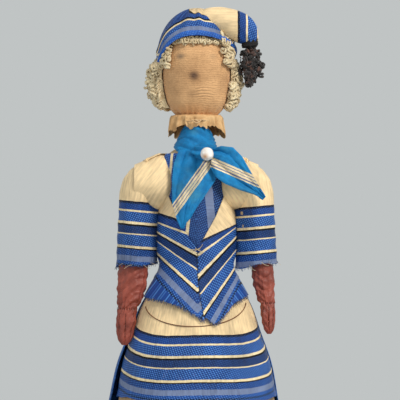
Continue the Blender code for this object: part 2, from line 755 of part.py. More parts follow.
def make_arm(side, sign, torso, linen, filling, silk, leather):
    """A tape tab sewn to the shoulder, a stuffed upper arm in its sleeve, and a gloved forearm."""
    x = sign * SHOULDER_X
    tab = body(f"shoulder_tab_{side}", (x, 0, SHOULDER_Z), torso)
    upper = body(f"upper_arm_{side}", (x, 0, SHOULDER_Z), tab)
    elbow_x = x + sign * ELBOW_OUT
    fore = body(f"forearm_{side}", (elbow_x, 0, ELBOW_Z), upper)
    inner_end = x - sign * (SLEEVE_HEAD - JOINT_GAP * 0.4)
    outer_end = x + sign * 0.002
    tape = rod((inner_end, 0, SHOULDER_Z), (outer_end, 0, SHOULDER_Z), TAB_RADIUS, 12)
    add(f"shoulder_tape_{side}", tape, tab, linen)
    room_start, room_end = inner_end - sign * 0.01, outer_end + sign * 0.0004
    room = rod((room_start, 0, SHOULDER_Z), (room_end, 0, SHOULDER_Z), TAB_RADIUS + JOINT_GAP, 12)
    slot = helper(f"tape_room_{side}", room, upper, linen)
    mouth_z = ELBOW_Z + 0.0040
    heights = (SHOULDER_Z - 0.30 * UPPER_ARM, SHOULDER_Z - 0.58 * UPPER_ARM, mouth_z)
    centres = [x + sign * share * ELBOW_OUT for share in (0.52, 0.78, 1.0)]

    def sleeve_rings(shrink):
        tube = [circle(cx, 0, z, SLEEVE_RADIUS - shrink) for cx, z in zip(centres, heights)]
        return [*reversed(tube), *reversed(ball_top(x, SHOULDER_Z, SLEEVE_HEAD - shrink))]

    sleeve_wall = 0.0006
    sleeve = add(f"sleeve_{side}", cup(sleeve_rings(0), sleeve_rings(sleeve_wall)), upper, silk)
    arm_shrink = sleeve_wall + CLOTH_GAP
    end_z = ELBOW_Z + 0.0094

    def arm_rings(shrink, low):
        """The upper arm, from its round top down to a narrower end above the elbow."""
        ledge = SLEEVE_HEAD * math.sin(math.radians(10))
        start_x = x + (centres[0] - x) * ledge / (ledge + 0.30 * UPPER_ARM)
        top = ball_top(x, SHOULDER_Z, SLEEVE_HEAD - shrink)[:-1]
        top.append(circle(start_x, 0, SHOULDER_Z, SLEEVE_HEAD - shrink - 0.0002))
        slack = (0.0004, 0.0016)
        tube = [circle(c, 0, z, SLEEVE_RADIUS - shrink - s) for c, z, s in zip(centres, heights, slack)]
        along = (heights[1] - low) / (heights[1] - mouth_z)
        end_x = centres[1] + along * (centres[2] - centres[1])
        return [*top, *tube, circle(end_x, 0, low, SLEEVE_RADIUS - shrink - 0.0038)]

    hollow = arm_rings(arm_shrink + LINEN, end_z + LINEN)
    cover = add(f"upper_arm_cover_{side}", lofted([*reversed(hollow), *arm_rings(arm_shrink, end_z)]), upper, linen)
    packed = arm_rings(arm_shrink + LINEN + 0.0003, end_z + LINEN + 0.0003)
    stuffing = add(f"upper_arm_stuffing_{side}", lofted(packed[1:]), upper, filling)
    for piece in (sleeve, cover, stuffing):
        cut(piece, slot)
    make_glove(side, sign, fore, elbow_x, leather, filling)


def make_glove(side, sign, carrier, x, leather, filling):
    """A leather glove with a wide cuff, filled from the elbow to the fingertips. It hangs a little forward."""
    # Each row: height as a share of the forearm, outward shift, forward shift, half width, half depth.
    rows = (
        (-0.125, 0.0003, 0.0000, 0.0071, 0.0071),
        (0.00, 0.0005, 0.0004, 0.0068, 0.0068),
        (0.27, 0.0018, 0.0028, 0.0054, 0.0052),
        (0.50, 0.0036, 0.0052, 0.0043, 0.0040),
        (0.63, 0.0049, 0.0063, 0.0046, 0.0036),
        (0.84, 0.0062, 0.0076, 0.0038, 0.0029),
        (1.00, 0.0068, 0.0085, 0.0022, 0.0017),
    )

    def rings(shrink, lift=0.0):
        made = []
        for share, out, forward, wide, deep in rows:
            z = ELBOW_Z - share * FOREARM + (lift if share == rows[-1][0] else 0.0)
            made.append(circle(x + sign * out, -forward, z, wide - shrink, deep - shrink))
        return made

    wall = 0.0005
    add(f"glove_{side}", cup(rings(0), rings(wall, wall)), carrier, leather)
    gap = wall + 0.0003
    add(f"forearm_stuffing_{side}", lofted(rings(gap, gap + 0.0002)[1:]), carrier, filling)


def make_leg(side, sign, torso, linen, filling, leather):
    """A stuffed thigh and shin under the skirts, with an ankle boot."""
    x = sign * LEG_X
    thigh = body(f"thigh_{side}", (x, 0, HIP_Z), torso)
    shin = body(f"shin_{side}", (x, 0, KNEE_Z), thigh)
    end = KNEE_Z + 0.0085

    def thigh_rings(shrink, low):
        top = ball_top(x, HIP_Z, HIP_BALL - shrink, (75, 45, 15))
        return top + [
            circle(x, 0, HIP_Z - 0.4 * THIGH_LENGTH, 0.0084 - shrink),
            circle(x, 0, low + 0.004, 0.0070 - shrink),
            circle(x, 0, low, 0.0045 - shrink),
        ]

    hollow = thigh_rings(LINEN, end + LINEN)
    cover = lofted([*hollow[1:][::-1], *thigh_rings(0, end)[1:]])
    add(f"thigh_cover_{side}", cover, thigh, linen)
    gap = LINEN + 0.0003
    add(f"thigh_stuffing_{side}", lofted(thigh_rings(gap, end + gap)[2:]), thigh, filling)
    boot_top = SOLE_GAP + 0.034
    knee_ball = 0.0070

    def shin_rings(shrink, low):
        return ball_top(x, KNEE_Z, knee_ball - shrink, (70, 35, 0)) + [
            circle(x, 0, KNEE_Z - 0.35 * SHIN_LENGTH, 0.0072 - shrink),
            circle(x, 0, low, 0.0038 - shrink),
        ]

    ankle = SOLE_GAP + 0.0125
    hollow = shin_rings(LINEN, ankle + LINEN)
    add(f"stocking_{side}", lofted([*hollow[1:][::-1], *shin_rings(0, ankle)[1:]]), shin, linen)
    add(f"shin_stuffing_{side}", lofted(shin_rings(gap, ankle + gap)[2:]), shin, filling)
    # Boot rows: height over the sole, forward shift, half width, half depth.
    rows = (
        (boot_top - SOLE_GAP, 0.0, 0.0074, 0.0074),
        (0.020, 0.0002, 0.0064, 0.0064),
        (0.0115, 0.0020, 0.0062, 0.0085),
        (0.0065, 0.0055, 0.0062, 0.0130),
        (0.0000, 0.0060, 0.0060, 0.0135),
    )
    wall = 0.0008
    outer = [circle(x, -y, SOLE_GAP + z, w, d) for z, y, w, d in rows]
    inner = [circle(x, -y, SOLE_GAP + z, w - wall, d - wall) for z, y, w, d in rows[:3]]
    inner.append(circle(x, -0.0022, SOLE_GAP + 0.0118, 0.0050, 0.0070))
    add(f"boot_{side}", cup(outer, inner[:2] + [inner[-1]]), shin, leather)


# ---------------------------------------------------------------- assembly
def main():
    for existing in list(bpy.data.objects):
        bpy.data.objects.remove(existing)
    silk = material("striped_silk", BLUE, 0.45)
    figured = material("figured_silk", BLUE, 0.5)
    scarf_silk = material("scarf_silk", TURQUOISE, 0.5)
    linen = material("linen", CALICO, 0.9)
    lining = material("lining_cotton", WHITE, 0.9)
    skin = material("head_cloth", FLESH, 0.85)
    wool = material("lambswool", WOOL, 0.95)
    leather = material("glove_leather", LEATHER, 0.5)
    boot_leather = material("boot_leather", BLACK, 0.45)
    black = material("black_wool", BLACK, 0.9)
    pearl = material("pearl", PEARL, 0.2)
    steel = material("steel", STEEL, 0.3, 1.0)
    filling = material("stuffing", SAWDUST, 1.0)

    torso = body("torso", (0, 0, 0))
    room = [
        helper(f"arm_room_{i}", room_ball(s * SHOULDER_X, SHOULDER_Z, SLEEVE_HEAD + JOINT_GAP), torso, linen)
        for i, s in enumerate((1, -1))
    ]
    make_torso(torso, linen, filling, room)
    make_bodice(torso, silk, figured, room)
    make_skirts(torso, silk, lining)
    make_scarf(torso, scarf_silk, pearl, steel)
    neck = body("neck", (0, 0, NECK_Z), torso)
    make_neck(neck, skin, linen)
    head = body("head", (0, 0, STRING_Z), neck)
    make_head(head, skin, filling, wool, silk, black)
    tassel = body("tassel_hang", tassel_pivot(), head)
    make_tassel(tassel, black)
    for side, sign in (("left", 1), ("right", -1)):
        make_arm(side, sign, torso, linen, filling, silk, leather)
        make_leg(side, sign, torso, linen, filling, boot_leather)


main()
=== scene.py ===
import json
import math
import random

import bmesh
import bpy
import numpy as np
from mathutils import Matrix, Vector, noise

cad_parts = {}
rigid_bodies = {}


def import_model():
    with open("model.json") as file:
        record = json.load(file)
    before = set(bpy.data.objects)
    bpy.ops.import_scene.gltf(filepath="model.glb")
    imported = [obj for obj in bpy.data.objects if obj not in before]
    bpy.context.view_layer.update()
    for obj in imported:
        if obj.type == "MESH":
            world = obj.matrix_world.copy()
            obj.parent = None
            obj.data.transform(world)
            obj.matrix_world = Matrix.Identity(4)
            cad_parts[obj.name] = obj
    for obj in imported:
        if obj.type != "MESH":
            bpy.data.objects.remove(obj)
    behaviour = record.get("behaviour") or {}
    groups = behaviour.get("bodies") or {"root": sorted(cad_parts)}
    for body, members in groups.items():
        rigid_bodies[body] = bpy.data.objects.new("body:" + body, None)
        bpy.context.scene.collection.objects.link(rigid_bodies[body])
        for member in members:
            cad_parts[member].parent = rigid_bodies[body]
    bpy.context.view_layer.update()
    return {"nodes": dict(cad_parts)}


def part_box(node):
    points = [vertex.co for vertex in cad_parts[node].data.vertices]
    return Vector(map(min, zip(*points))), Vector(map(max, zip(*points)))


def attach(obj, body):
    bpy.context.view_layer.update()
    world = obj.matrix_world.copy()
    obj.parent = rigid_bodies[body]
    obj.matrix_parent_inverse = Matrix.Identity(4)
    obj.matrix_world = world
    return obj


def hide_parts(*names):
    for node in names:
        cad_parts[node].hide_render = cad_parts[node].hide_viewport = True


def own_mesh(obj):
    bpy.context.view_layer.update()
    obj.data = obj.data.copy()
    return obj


for thing in list(bpy.data.objects):
    bpy.data.objects.remove(thing)

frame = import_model()
MM = 0.001


# ---------------------------------------------------------------- body bag, limbs and stuffing
# The body, arms and legs are bags of unbleached cotton packed tight with wool waste. They stay inside the
# clothes, so the bags keep their plain shape and take a woven cloth finish.
class Strand:
    """One socket of a finish's node tree, with arithmetic."""

    def __init__(self, finish, socket):
        self.finish, self.socket = finish, socket

    def __add__(self, other):
        return self.finish.reckon("ADD", self, other)

    def __sub__(self, other):
        return self.finish.reckon("SUBTRACT", self, other)

    def __rsub__(self, other):
        return self.finish.reckon("SUBTRACT", other, self)

    def __mul__(self, other):
        return self.finish.reckon("MULTIPLY", self, other)

    def __truediv__(self, other):
        return self.finish.reckon("DIVIDE", self, other)

    def __gt__(self, other):
        return self.finish.reckon("GREATER_THAN", self, other)

    def __lt__(self, other):
        return self.finish.reckon("LESS_THAN", self, other)

    __radd__, __rmul__ = __add__, __mul__


class Finish:
    """A material under construction, round one Principled shader whose fixed values are given at the start."""

    def __init__(self, name, **fixed):
        self.material = bpy.data.materials.new(name)
        self.material.use_nodes = True
        self.tree = self.material.node_tree
        self.shader = self.tree.nodes["Principled BSDF"]
        for socket, value in fixed.items():
            self.shader.inputs[socket.replace("_", " ")].default_value = value

    def put(self, kind, sockets=None, outlet=0, stops=None, **settings):
        """Add a node: its settings and stops first, then the values or strands of its sockets."""
        node = self.tree.nodes.new("ShaderNode" + kind)
        for key, value in settings.items():
            setattr(node, key, value)
        if stops:
            ramp = node.color_ramp
            ramp.interpolation = stops[0]
            while len(ramp.elements) > 1:
                ramp.elements.remove(ramp.elements[-1])
            ramp.elements[0].position, ramp.elements[0].color = stops[1]
            for place, colour in stops[2:]:
                ramp.elements.new(place).color = colour
        for key, value in (sockets or {}).items():
            if isinstance(value, Strand):
                self.tree.links.new(value.socket, node.inputs[key])
            else:
                node.inputs[key].default_value = value
        return Strand(self, node.outputs[outlet])

    def reckon(self, operation, *values):
        return self.put("Math", dict(enumerate(values)), operation=operation)

    def positive(self, value):
        """The value, or 0 where it is below."""
        return self.reckon("MAXIMUM", value, 0.0)

    def sine(self, value, period):
        return self.reckon("SINE", value * (math.tau / period))

    def place(self):
        return self.put("TexCoord", outlet=3)

    def axes(self, place):
        """The three parts of a position."""
        first = self.put("SeparateXYZ", {0: place})
        outs = first.socket.node.outputs
        return [Strand(self, outs[i]) for i in range(3)]

    def speckle(self, place, size, detail=3.0, roughness=0.55):
        """Soft noise whose blotches are about size across, from 0 to 1."""
        sockets = {"Vector": place, "Scale": 1 / size, "Detail": detail, "Roughness": roughness}
        return self.put("TexNoise", sockets)

    def blend(self, share, low, high, how="MIX"):
        return self.put("Mix", {0: share, 6: low, 7: high}, outlet=2, data_type="RGBA", blend_type=how)

    def grade(self, value, low, high):
        """A number between 0 and 1 as a ramp between two colours."""
        return self.put("ValToRGB", {0: value}, stops=("LINEAR", (0.25, low), (0.75, high)))

    def done(self, colour, roughness, height, depth):
        """Join the varying parts to the shader. depth is the relief in metres."""
        links = self.tree.links
        links.new(colour.socket, self.shader.inputs["Base Color"])
        if isinstance(roughness, Strand):
            links.new(roughness.socket, self.shader.inputs["Roughness"])
        else:
            self.shader.inputs["Roughness"].default_value = roughness
        bump = self.put("Bump", {"Strength": 1.0, "Distance": depth, "Height": height})
        links.new(bump.socket, self.shader.inputs["Normal"])
        return self.material


def dye(red, green, blue):
    """A colour from its 0 to 255 screen values."""
    return (*[((v / 255 + 0.055) / 1.055) ** 2.4 if v > 10 else v / 3294 for v in (red, green, blue)], 1.0)


def plain_weave(name, pale, dark, pitch, blotch=0.012, **fixed):
    """Woven cloth of one colour: crossed threads, slubs and soft stains."""
    made = Finish(name, **fixed)
    place = made.place()
    x, y, z = made.axes(place)
    turn = made.reckon("ARCTAN2", x, y) * 0.012
    threads = made.sine(z, pitch) * made.sine(turn + x * 0.4, pitch)
    slub = made.speckle(place, pitch * 2.2, 2.0)
    stain = made.speckle(place, blotch)
    colour = made.blend(slub * 0.35, made.grade(stain, dark, pale), dark)
    return made.done(colour, stain * 0.2 + 0.72, threads * 0.5 + slub, 0.00012)


def dress(finish, *nodes):
    """Give a frame node a better finish."""
    for node in nodes:
        data = frame["nodes"][node].data
        data.materials.clear()
        data.materials.append(finish)


SIDES = (("left", 1), ("right", -1))
calico = plain_weave("calico", dye(222, 202, 168), dye(178, 152, 116), 0.0006)
kapok = plain_weave("wool_waste", dye(205, 186, 150), dye(140, 118, 86), 0.0016, 0.004)
tape = plain_weave("cotton_tape", dye(226, 216, 196), dye(170, 156, 130), 0.0005)
dress(calico, "torso_cover", "thigh_cover_left", "thigh_cover_right")
dress(kapok, "torso_stuffing", "head_stuffing")
for side, _ in SIDES:
    dress(kapok, f"thigh_stuffing_{side}", f"shin_stuffing_{side}")
    dress(tape, f"shoulder_tape_{side}")
dress(tape, "waistband")


# ---------------------------------------------------------------- stockings and boots
# Each leg ends in a knitted cotton stocking and a laced boot of soft brown leather, stitched round the sole.
# They hang inside the petticoat, just clear of the floor.
def leather(name, pale, dark, crease=0.0035, **fixed):
    """Glove leather: pebbled grain, creases with painted shade in their hollows and painted highlight on their
    ridges, and rubbed paler patches.
    """
    made = Finish(name, **fixed)
    place = made.place()
    grain = made.put("TexVoronoi", {"Vector": place, "Scale": 1 / 0.00055})
    fold = made.speckle(place, crease, 4.0, 0.6)
    rub = made.speckle(place, 0.009, 3.0)
    # The fold noise, which also gives the creases' relief, makes the ridges paler and the hollows dark red-brown:
    # painted highlight and painted shade in the creases.
    colour = made.grade(rub * 0.65 + fold * 0.35, dark, pale)
    colour = made.blend(made.positive(0.42 - fold) * 3.0, colour, dye(70, 24, 16))
    return made.done(colour, fold * 0.25 + 0.38, grain * 0.25 + fold, 0.0005)


knit = plain_weave("stocking_knit", dye(214, 206, 190), dye(168, 158, 138), 0.0007)
boot_leather = leather("boot_leather", dye(96, 58, 38), dye(44, 26, 18))
for side, _ in SIDES:
    dress(knit, f"stocking_{side}")
    dress(boot_leather, f"boot_{side}")


# ---------------------------------------------------------------- petticoat and skirt yoke
# A cone of stiffened cotton carries the doll: it stands on this hem. A plain cotton yoke above holds the
# silk tiers.
stiff_cotton = plain_weave("stiffened_cotton", dye(208, 190, 156), dye(158, 136, 102), 0.0008)
lining = plain_weave("lining_cotton", dye(52, 74, 108), dye(28, 42, 70), 0.0006)
dress(stiff_cotton, "petticoat")
dress(lining, "underskirt_yoke")

# ---------------------------------------------------------------- underskirt tiers
# Three tiers of the striped ribbon silk, each in a front and a back half, gathered over the petticoat. Each
# is one ribbon deep: a wide cream zone above, then blue stripes down to the selvedge.
SKIRT = (
    (0, 56, 53, 53),
    (160.5, 39.5, 33.4, 36.4),
    (177, 36.6, 30.6, 34.6),
    (192, 31.6, 26.9, 31.9),
    (204.5, 27.4, 22.8, 27.4),
    (212.5, 23.4, 19.4, 21.8),
    (219, 19.8, 16.4, 16.4),
)
CREAM = dye(240, 212, 166)
LINE = dye(238, 218, 176)
NAVY = dye(4, 14, 44)
BLUE = dye(18, 58, 130)
DEEP = dye(14, 44, 98)
FIGURED = dye(26, 72, 152)
BRIGHT = dye(88, 148, 220)
LILAC = dye(118, 132, 166)
BLACK = dye(2, 3, 10)
WAIST = 219
# The ribbon from its cream zone to its selvedge: where each stripe starts, in millimetres, and its colour.
RIBBON = (
    (-40, CREAM), (0, NAVY), (1.0, BLUE), (4.3, LINE), (5.1, FIGURED), (10.2, LINE), (11.5, BLACK),
    (12.2, DEEP), (16.0, LINE), (16.8, FIGURED), (22.3, LINE), (23.6, BLACK), (24.3, BLUE), (27.3, LILAC),
    (30.2, FIGURED), (31.6, NAVY), (32.6, FIGURED),
)
RIBBON_FIGURE = (
    (-40, 0.0), (0.5, 0.25), (4.3, 0.0), (5.1, 1.0), (10.2, 0.0), (12.2, 0.2), (16.0, 0.0), (16.8, 1.0),
    (22.3, 0.0), (24.3, 0.5), (27.3, 0.1), (30.2, 0.6),
)
SPAN = 80.0


def bands(made, across, table):
    """Hard-edged colours or numbers from rows of where each starts, in millimetres across the ribbon."""
    stops = [((start + SPAN / 2) / SPAN, v if isinstance(v, tuple) else (v, v, v, 1.0)) for start, v in table]
    return made.put("ValToRGB", {0: (across + SPAN / 2) / SPAN}, stops=("CONSTANT", *stops))


def ribbon_silk(name, stripes=RIBBON, figure=RIBBON_FIGURE, wear=0.5, **fixed):
    """Striped silk ribbon. Its map gives millimetres along the ribbon and across it from the navy edge."""
    made = Finish(name, Specular_IOR_Level=0.22, **fixed)
    place = made.place()
    along, across, _ = made.axes(made.put("UVMap", uv_map="ribbon"))
    wander = (made.speckle(place, 0.004) - 0.5) * 0.5
    at = across + wander
    colour = bands(made, at, stripes)
    where = bands(made, at, figure)
    diaper = made.sine(along + across * 0.5, 1.7) * made.sine(along * 0.4 - across, 1.5)
    diaper = made.reckon("SMOOTH_MAX", diaper * 1.6, 0.0, 0.2)
    colour = made.blend(diaper * where * 0.8, colour, BRIGHT)
    colour = made.blend(made.positive(0.35 - diaper) * where * 1.1, colour, dye(6, 26, 84))
    # cloud and streak noise scale the colour lighter and darker in soft patches and in streaks along the ribbon:
    # painted sheen and painted shade over the silk.
    cloud = made.speckle(place, 0.014, 3.0)
    streak = made.speckle(made.put("CombineXYZ", {0: along * 0.9, 1: across * 0.12}), 1.0, 3.0)
    light = made.grade(cloud * 0.55 + streak * 0.45, (0.46, 0.46, 0.48, 1), (1.42, 1.40, 1.36, 1))
    colour = made.blend(1.0, colour, light, "MULTIPLY")
    age = made.speckle(place, 0.006, 4.0, 0.65)
    colour = made.blend(made.positive(age - 0.63) * 1.8 * wear, colour, dye(176, 140, 96))
    ribs = made.sine(along, 0.42) * 0.5 + made.sine(across, 0.30) * 0.35
    return made.done(colour, cloud * 0.22 + 0.34, ribs * 0.3 + streak * 0.6 + diaper * where * 0.4, 0.00022)


def smooth_rows(rows):
    """Half width, front and back of a figure at any height, on a smooth curve through its rows (mm)."""
    table = np.array(rows, float)
    z, values = table[:, 0], table[:, 1:]
    slopes = np.gradient(values, z, axis=0)

    def at(height):
        h = np.clip(np.asarray(height, float), z[0], z[-1])
        i = np.clip(np.searchsorted(z, h) - 1, 0, len(z) - 2)
        step = (z[i + 1] - z[i])[..., None]
        s = ((h - z[i])[..., None]) / step
        a, b, p, q = values[i], values[i + 1], slopes[i] * step, slopes[i + 1] * step
        s2, s3 = s * s, s * s * s
        return (2 * s3 - 3 * s2 + 1) * a + (s3 - 2 * s2 + s) * p + (3 * s2 - 2 * s3) * b + (s3 - s2) * q

    return at


def on_figure(at, turns, heights, offset=0.0):
    """Points in mm on a figure: turn 0 is the front centre, positive towards the doll's left."""
    t, z = np.broadcast_arrays(np.asarray(turns, float), np.asarray(heights, float))
    size = at(z)
    deep = np.where(np.cos(t) > 0, size[..., 1], size[..., 2])
    return np.stack(((size[..., 0] + offset) * np.sin(t), -(deep + offset) * np.cos(t), z), -1)


def mesh_of(name, points, faces, marks, finish, turn_out=True):
    """A mesh from millimetre points, with its ribbon map, faces outwards."""
    data = bpy.data.meshes.new(name)
    data.from_pydata([tuple(p) for p in np.asarray(points) * MM], [], faces)
    if marks is not None:
        layer = data.uv_layers.new(name="ribbon")
        layer.data.foreach_set("uv", np.array([m for face in marks for m in face], np.float32).ravel())
    if turn_out:
        shape = bmesh.new()
        shape.from_mesh(data)
        if shape.calc_volume(signed=True) < 0:
            bmesh.ops.reverse_faces(shape, faces=shape.faces[:])
        shape.to_mesh(data)
        shape.free()
    data.shade_smooth()
    data.set_sharp_from_angle(angle=math.radians(50))
    data.materials.append(finish)
    piece = bpy.data.objects.new(name, data)
    bpy.context.scene.collection.objects.link(piece)
    return piece


def ribbon_map(along, across):
    """The place on the ribbon, in millimetres, of every point of a grid."""
    return np.stack(np.broadcast_arrays(along, across), -1)


def all_round(count):
    """Even turns round a closed piece."""
    return np.linspace(0, math.tau, count, endpoint=False)


def join_round(grid):
    """A closed piece's grid with its first column again at the end."""
    return np.concatenate((grid, grid[:, :1]), 1)


def across_of(grid, closed):
    """Unit normals of a grid of points."""
    if closed:
        du = np.roll(grid, -1, 1) - np.roll(grid, 1, 1)
    else:
        du = np.gradient(grid, axis=1)
    dv = np.gradient(grid, axis=0)
    n = np.cross(du, dv)
    return n / np.maximum(np.linalg.norm(n, axis=2, keepdims=True), 1e-9)


def cloth(name, grid, wall, marks, finish, closed=False, pole=False, inner=None, core=None):
    """Cloth of even thickness: an outer grid of points (rows, columns), an inner copy and turned edges.

    It faces away from the core, or else from the doll's upright axis. A pole closes the last row to a point.
    """
    rows, cols = grid.shape[:2]
    if marks is None:
        marks = np.zeros((rows, cols + 1, 2))
    n = across_of(grid, closed)
    away = grid * np.array([1, 1, 0]) if core is None else grid - np.asarray(core, float)
    if (n * away).sum() < 0:
        n = -n
    under = grid - n * wall if inner is None else inner
    points = list(grid.reshape(-1, 3)) + list(under.reshape(-1, 3))
    total = rows * cols
    faces, maps = [], []

    def at(r, c, side):
        return side * total + r * cols + c % cols

    def quad(corners):
        faces.append([at(*k) for k in corners])
        maps.append([marks[k[0], k[1] if k[1] < marks.shape[1] else k[1] % cols] for k in corners])

    for r in range(rows - 1):
        for c in range(cols if closed else cols - 1):
            quad([(r, c, 0), (r, c + 1, 0), (r + 1, c + 1, 0), (r + 1, c, 0)])
            quad([(r, c, 1), (r + 1, c, 1), (r + 1, c + 1, 1), (r, c + 1, 1)])
    for c in range(cols if closed else cols - 1):
        quad([(0, c, 0), (0, c, 1), (0, c + 1, 1), (0, c + 1, 0)])
        if not pole:
            r = rows - 1
            quad([(r, c, 0), (r, c + 1, 0), (r, c + 1, 1), (r, c, 1)])
    if not closed:
        for r in range(rows - 1):
            quad([(r, 0, 0), (r + 1, 0, 0), (r + 1, 0, 1), (r, 0, 1)])
            c = cols - 1
            quad([(r, c, 0), (r, c, 1), (r + 1, c, 1), (r + 1, c, 0)])
    if pole:
        r = rows - 1
        for side in (0, 1):
            points.append((grid if side == 0 else under)[r].mean(0))
            top = len(points) - 1
            for c in range(cols):
                pair = [at(r, c, side), at(r, c + 1, side)]
                faces.append([*(pair if side == 0 else pair[::-1]), top])
                maps.append([marks[r, c]] * 3)
    return mesh_of(name, points, faces, maps, finish)


def settle(piece, body, slot, *nodes):
    """The piece rides on a body and stands for its solids. slot is not used."""
    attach(piece, body)
    if nodes:
        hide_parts(*nodes)
    return piece


def ruffle(turn, height, seed, size=9.0):
    """Smooth waves from -1 to 1 over a surface, in mm."""
    t, z = np.broadcast_arrays(turn, height)
    reach = size * 0.35
    waves = [
        noise.noise(Vector((math.cos(a) * reach + seed, math.sin(a) * reach, b / 30)))
        for a, b in zip(t.ravel(), z.ravel())
    ]
    return np.array(waves).reshape(t.shape) * 1.8


def cut_cloth(piece, grid, held, *rests_on):
    """Work out the cross products across the cells of a grid of points; the result is not kept."""
    a = np.cross(grid[1:, :-1] - grid[:-1, :-1], grid[:-1, 1:] - grid[:-1, :-1])


skirt = smooth_rows(SKIRT)
# The tiers' cream zone is a darker tan than the ribbon's cream: painted shade, as under the overskirt's hem.
tier_silk = ribbon_silk("tier_silk", ((-40, dye(184, 152, 112)), *RIBBON[1:]), wear=0.9)
TIER_DEPTH, TIER_GAP, HEM_RISE = 53.5, 0.4, 0.5
GATHER_DEPTH = 1.9
for tier in (1, 2, 3):
    low = HEM_RISE + (3 - tier) * (TIER_DEPTH + TIER_GAP)
    for half, start in (("front", -90), ("back", 90)):
        turns = np.radians(np.linspace(start + 0.3, start + 179.7, 110))[None, :]
        heights = np.linspace(low, low + TIER_DEPTH, 26)[:, None]
        share = (low + TIER_DEPTH - heights) / TIER_DEPTH
        phase = turns * 30 + 2.2 * np.sin(turns * 5 + tier) + 0.8 * np.sin(heights / 13)
        gathers = (0.5 + 0.5 * np.sin(phase)) * GATHER_DEPTH * share**0.8
        edge = np.clip(np.minimum(turns - turns.min(), turns.max() - turns) * 12, 0, 1)
        grid = on_figure(skirt, turns, heights, -0.9 + gathers * edge * (0.25 if tier == 1 else 1.0))
        grid[..., 2] += np.where(share > 0.9, 0.25 * np.sin(turns * 23), 0) * (share - 0.9) * 10 * (tier > 1)
        marks = ribbon_map(turns * 50, share * TIER_DEPTH - 21.5)
        piece = cloth(f"underskirt_tier_{tier}_{half}_silk", grid, 0.35, marks, tier_silk)
        settle(piece, "torso", "striped_silk", f"underskirt_tier_{tier}_{half}")
        cut_cloth(piece, grid, "gathered", "petticoat")

# ---------------------------------------------------------------- back drape
# A length of plain figured blue silk gathered at the back of the waist, which falls over the tiers almost to
# the floor. Its edge shows along the doll's right side.
drape_silk = ribbon_silk(
    "drape_silk",
    ((-60, dye(44, 96, 168)), (38, dye(30, 72, 140))),
    ((-40, 0.35), (38, 0.5)),
    wear=0.5,
)
DRAPE_LOW, DRAPE_TOP = 55.0, 217.5
DRAPE_START, DRAPE_END = 97, 274
turns = np.radians(np.linspace(DRAPE_START, DRAPE_END, 160))[None, :]
heights = np.linspace(DRAPE_LOW, DRAPE_TOP, 60)[:, None]
fall = (WAIST - heights) / (WAIST - DRAPE_LOW)
middle = np.sin(np.pi * np.clip((turns - math.radians(DRAPE_START)) / math.radians(180), 0, 1))
flare = np.clip((turns - math.radians(244)) / 0.35, 0, 1) * np.clip((212 - heights) / 52, 0, 1.2)
folds = 0.5 + 0.5 * np.sin(turns * 15 + 1.6 * np.sin(turns * 4) + 0.7 * np.sin(heights / 24))
folds = folds + 0.4 * ruffle(turns, heights, 3.0)
puff = 3.0 * middle * np.sin(np.pi * np.clip((210 - heights) / 75, 0, 1))
offset = 0.5 + puff + np.clip(folds, 0, 1.3) * np.clip(fall * 3, 0.15, 1) * (0.7 + 2.3 * middle) + 2.1 * flare
grid = on_figure(skirt, turns, heights, offset)
marks = ribbon_map(turns * 42, 30 - fall * 70)
piece = cloth("back_drape_silk", grid, 0.35, marks, drape_silk)
settle(piece, "torso", "figured_silk", "back_drape")
cut_cloth(piece, grid, "gathered", "waistband")

# ---------------------------------------------------------------- overskirt
# A short overskirt of the striped ribbon: its cream zone lies over the hips with one curved tuck, and the
# stripes run round below it to a raw selvedge at the hem.
skirt_silk = ribbon_silk("skirt_silk", wear=0.45)


def stripe_height(turn):
    """Height of the navy edge: it hangs a little lower at the front centre."""
    return 191.5 + 4.2 * (1 - np.cos(turn)) + 0.55 * np.sin(4.2 * turn + 1.2)


def tuck_height(turn):
    """Height of the curved tuck: it dips at the front centre."""
    return 196.2 + 8.2 * (np.degrees(turn) / 60.0 + 0.05) ** 2


OVERSKIRT_HEM, OVERSKIRT_TOP = 160.2, 218.6
turns = np.radians(np.linspace(-107, 105, 190))[None, :]
share = np.linspace(0, 1, 64)[:, None]
hem = OVERSKIRT_HEM + 0.5 * np.sin(turns * 5 + 0.7) + 0.25 * np.sin(turns * 17)
heights = hem + (OVERSKIRT_TOP - hem) * share
drop = np.clip((WAIST - heights) / 58.5, 0, 1)
soft = 0.5 + 0.5 * np.sin(turns * 6.2 + 1.1 + 0.8 * np.sin(heights / 17)) + 0.5 * ruffle(turns, heights, 8.0)
tuck = np.clip((heights - tuck_height(turns)) / 0.9, 0, 1) * np.clip((WAIST - heights) / 8, 0, 1)
offset = 0.2 + np.clip(soft, 0, 1.5) * 0.75 * drop - 0.35 * tuck
curl = np.clip(0.06 - share, 0, 1) / 0.06
grid = on_figure(skirt, turns, heights, offset + 0.3 * curl)
marks = ribbon_map(turns * 34, (stripe_height(turns) - heights) * 1.045)
piece = cloth("overskirt_silk", grid, 0.4, marks, skirt_silk)
settle(piece, "torso", "striped_silk", "overskirt_front")
cut_cloth(piece, grid, "gathered", "waistband")


def thread_line(name, path, radius, finish, sides=6):
    """A round thread along a path of mm points, closed at both ends."""
    path = np.asarray(path, float)
    ahead = np.gradient(path, axis=0)
    ahead /= np.linalg.norm(ahead, axis=1, keepdims=True)
    up = np.array([0.31, 0.17, 0.93])
    side = np.cross(ahead, up)
    side /= np.linalg.norm(side, axis=1, keepdims=True)
    third = np.cross(ahead, side)
    angles = all_round(sides)
    r = np.broadcast_to(np.asarray(radius, float), (len(path),))[:, None, None]
    rings = path[:, None] + r * (
        np.cos(angles)[None, :, None] * side[:, None] + np.sin(angles)[None, :, None] * third[:, None]
    )
    faces = []
    for i in range(len(path) - 1):
        for c in range(sides):
            d = (c + 1) % sides
            faces.append([i * sides + c, i * sides + d, (i + 1) * sides + d, (i + 1) * sides + c])
    faces.append(list(range(sides))[::-1])
    faces.append([(len(path) - 1) * sides + c for c in range(sides)])
    return mesh_of(name, rings.reshape(-1, 3), faces, None, finish)


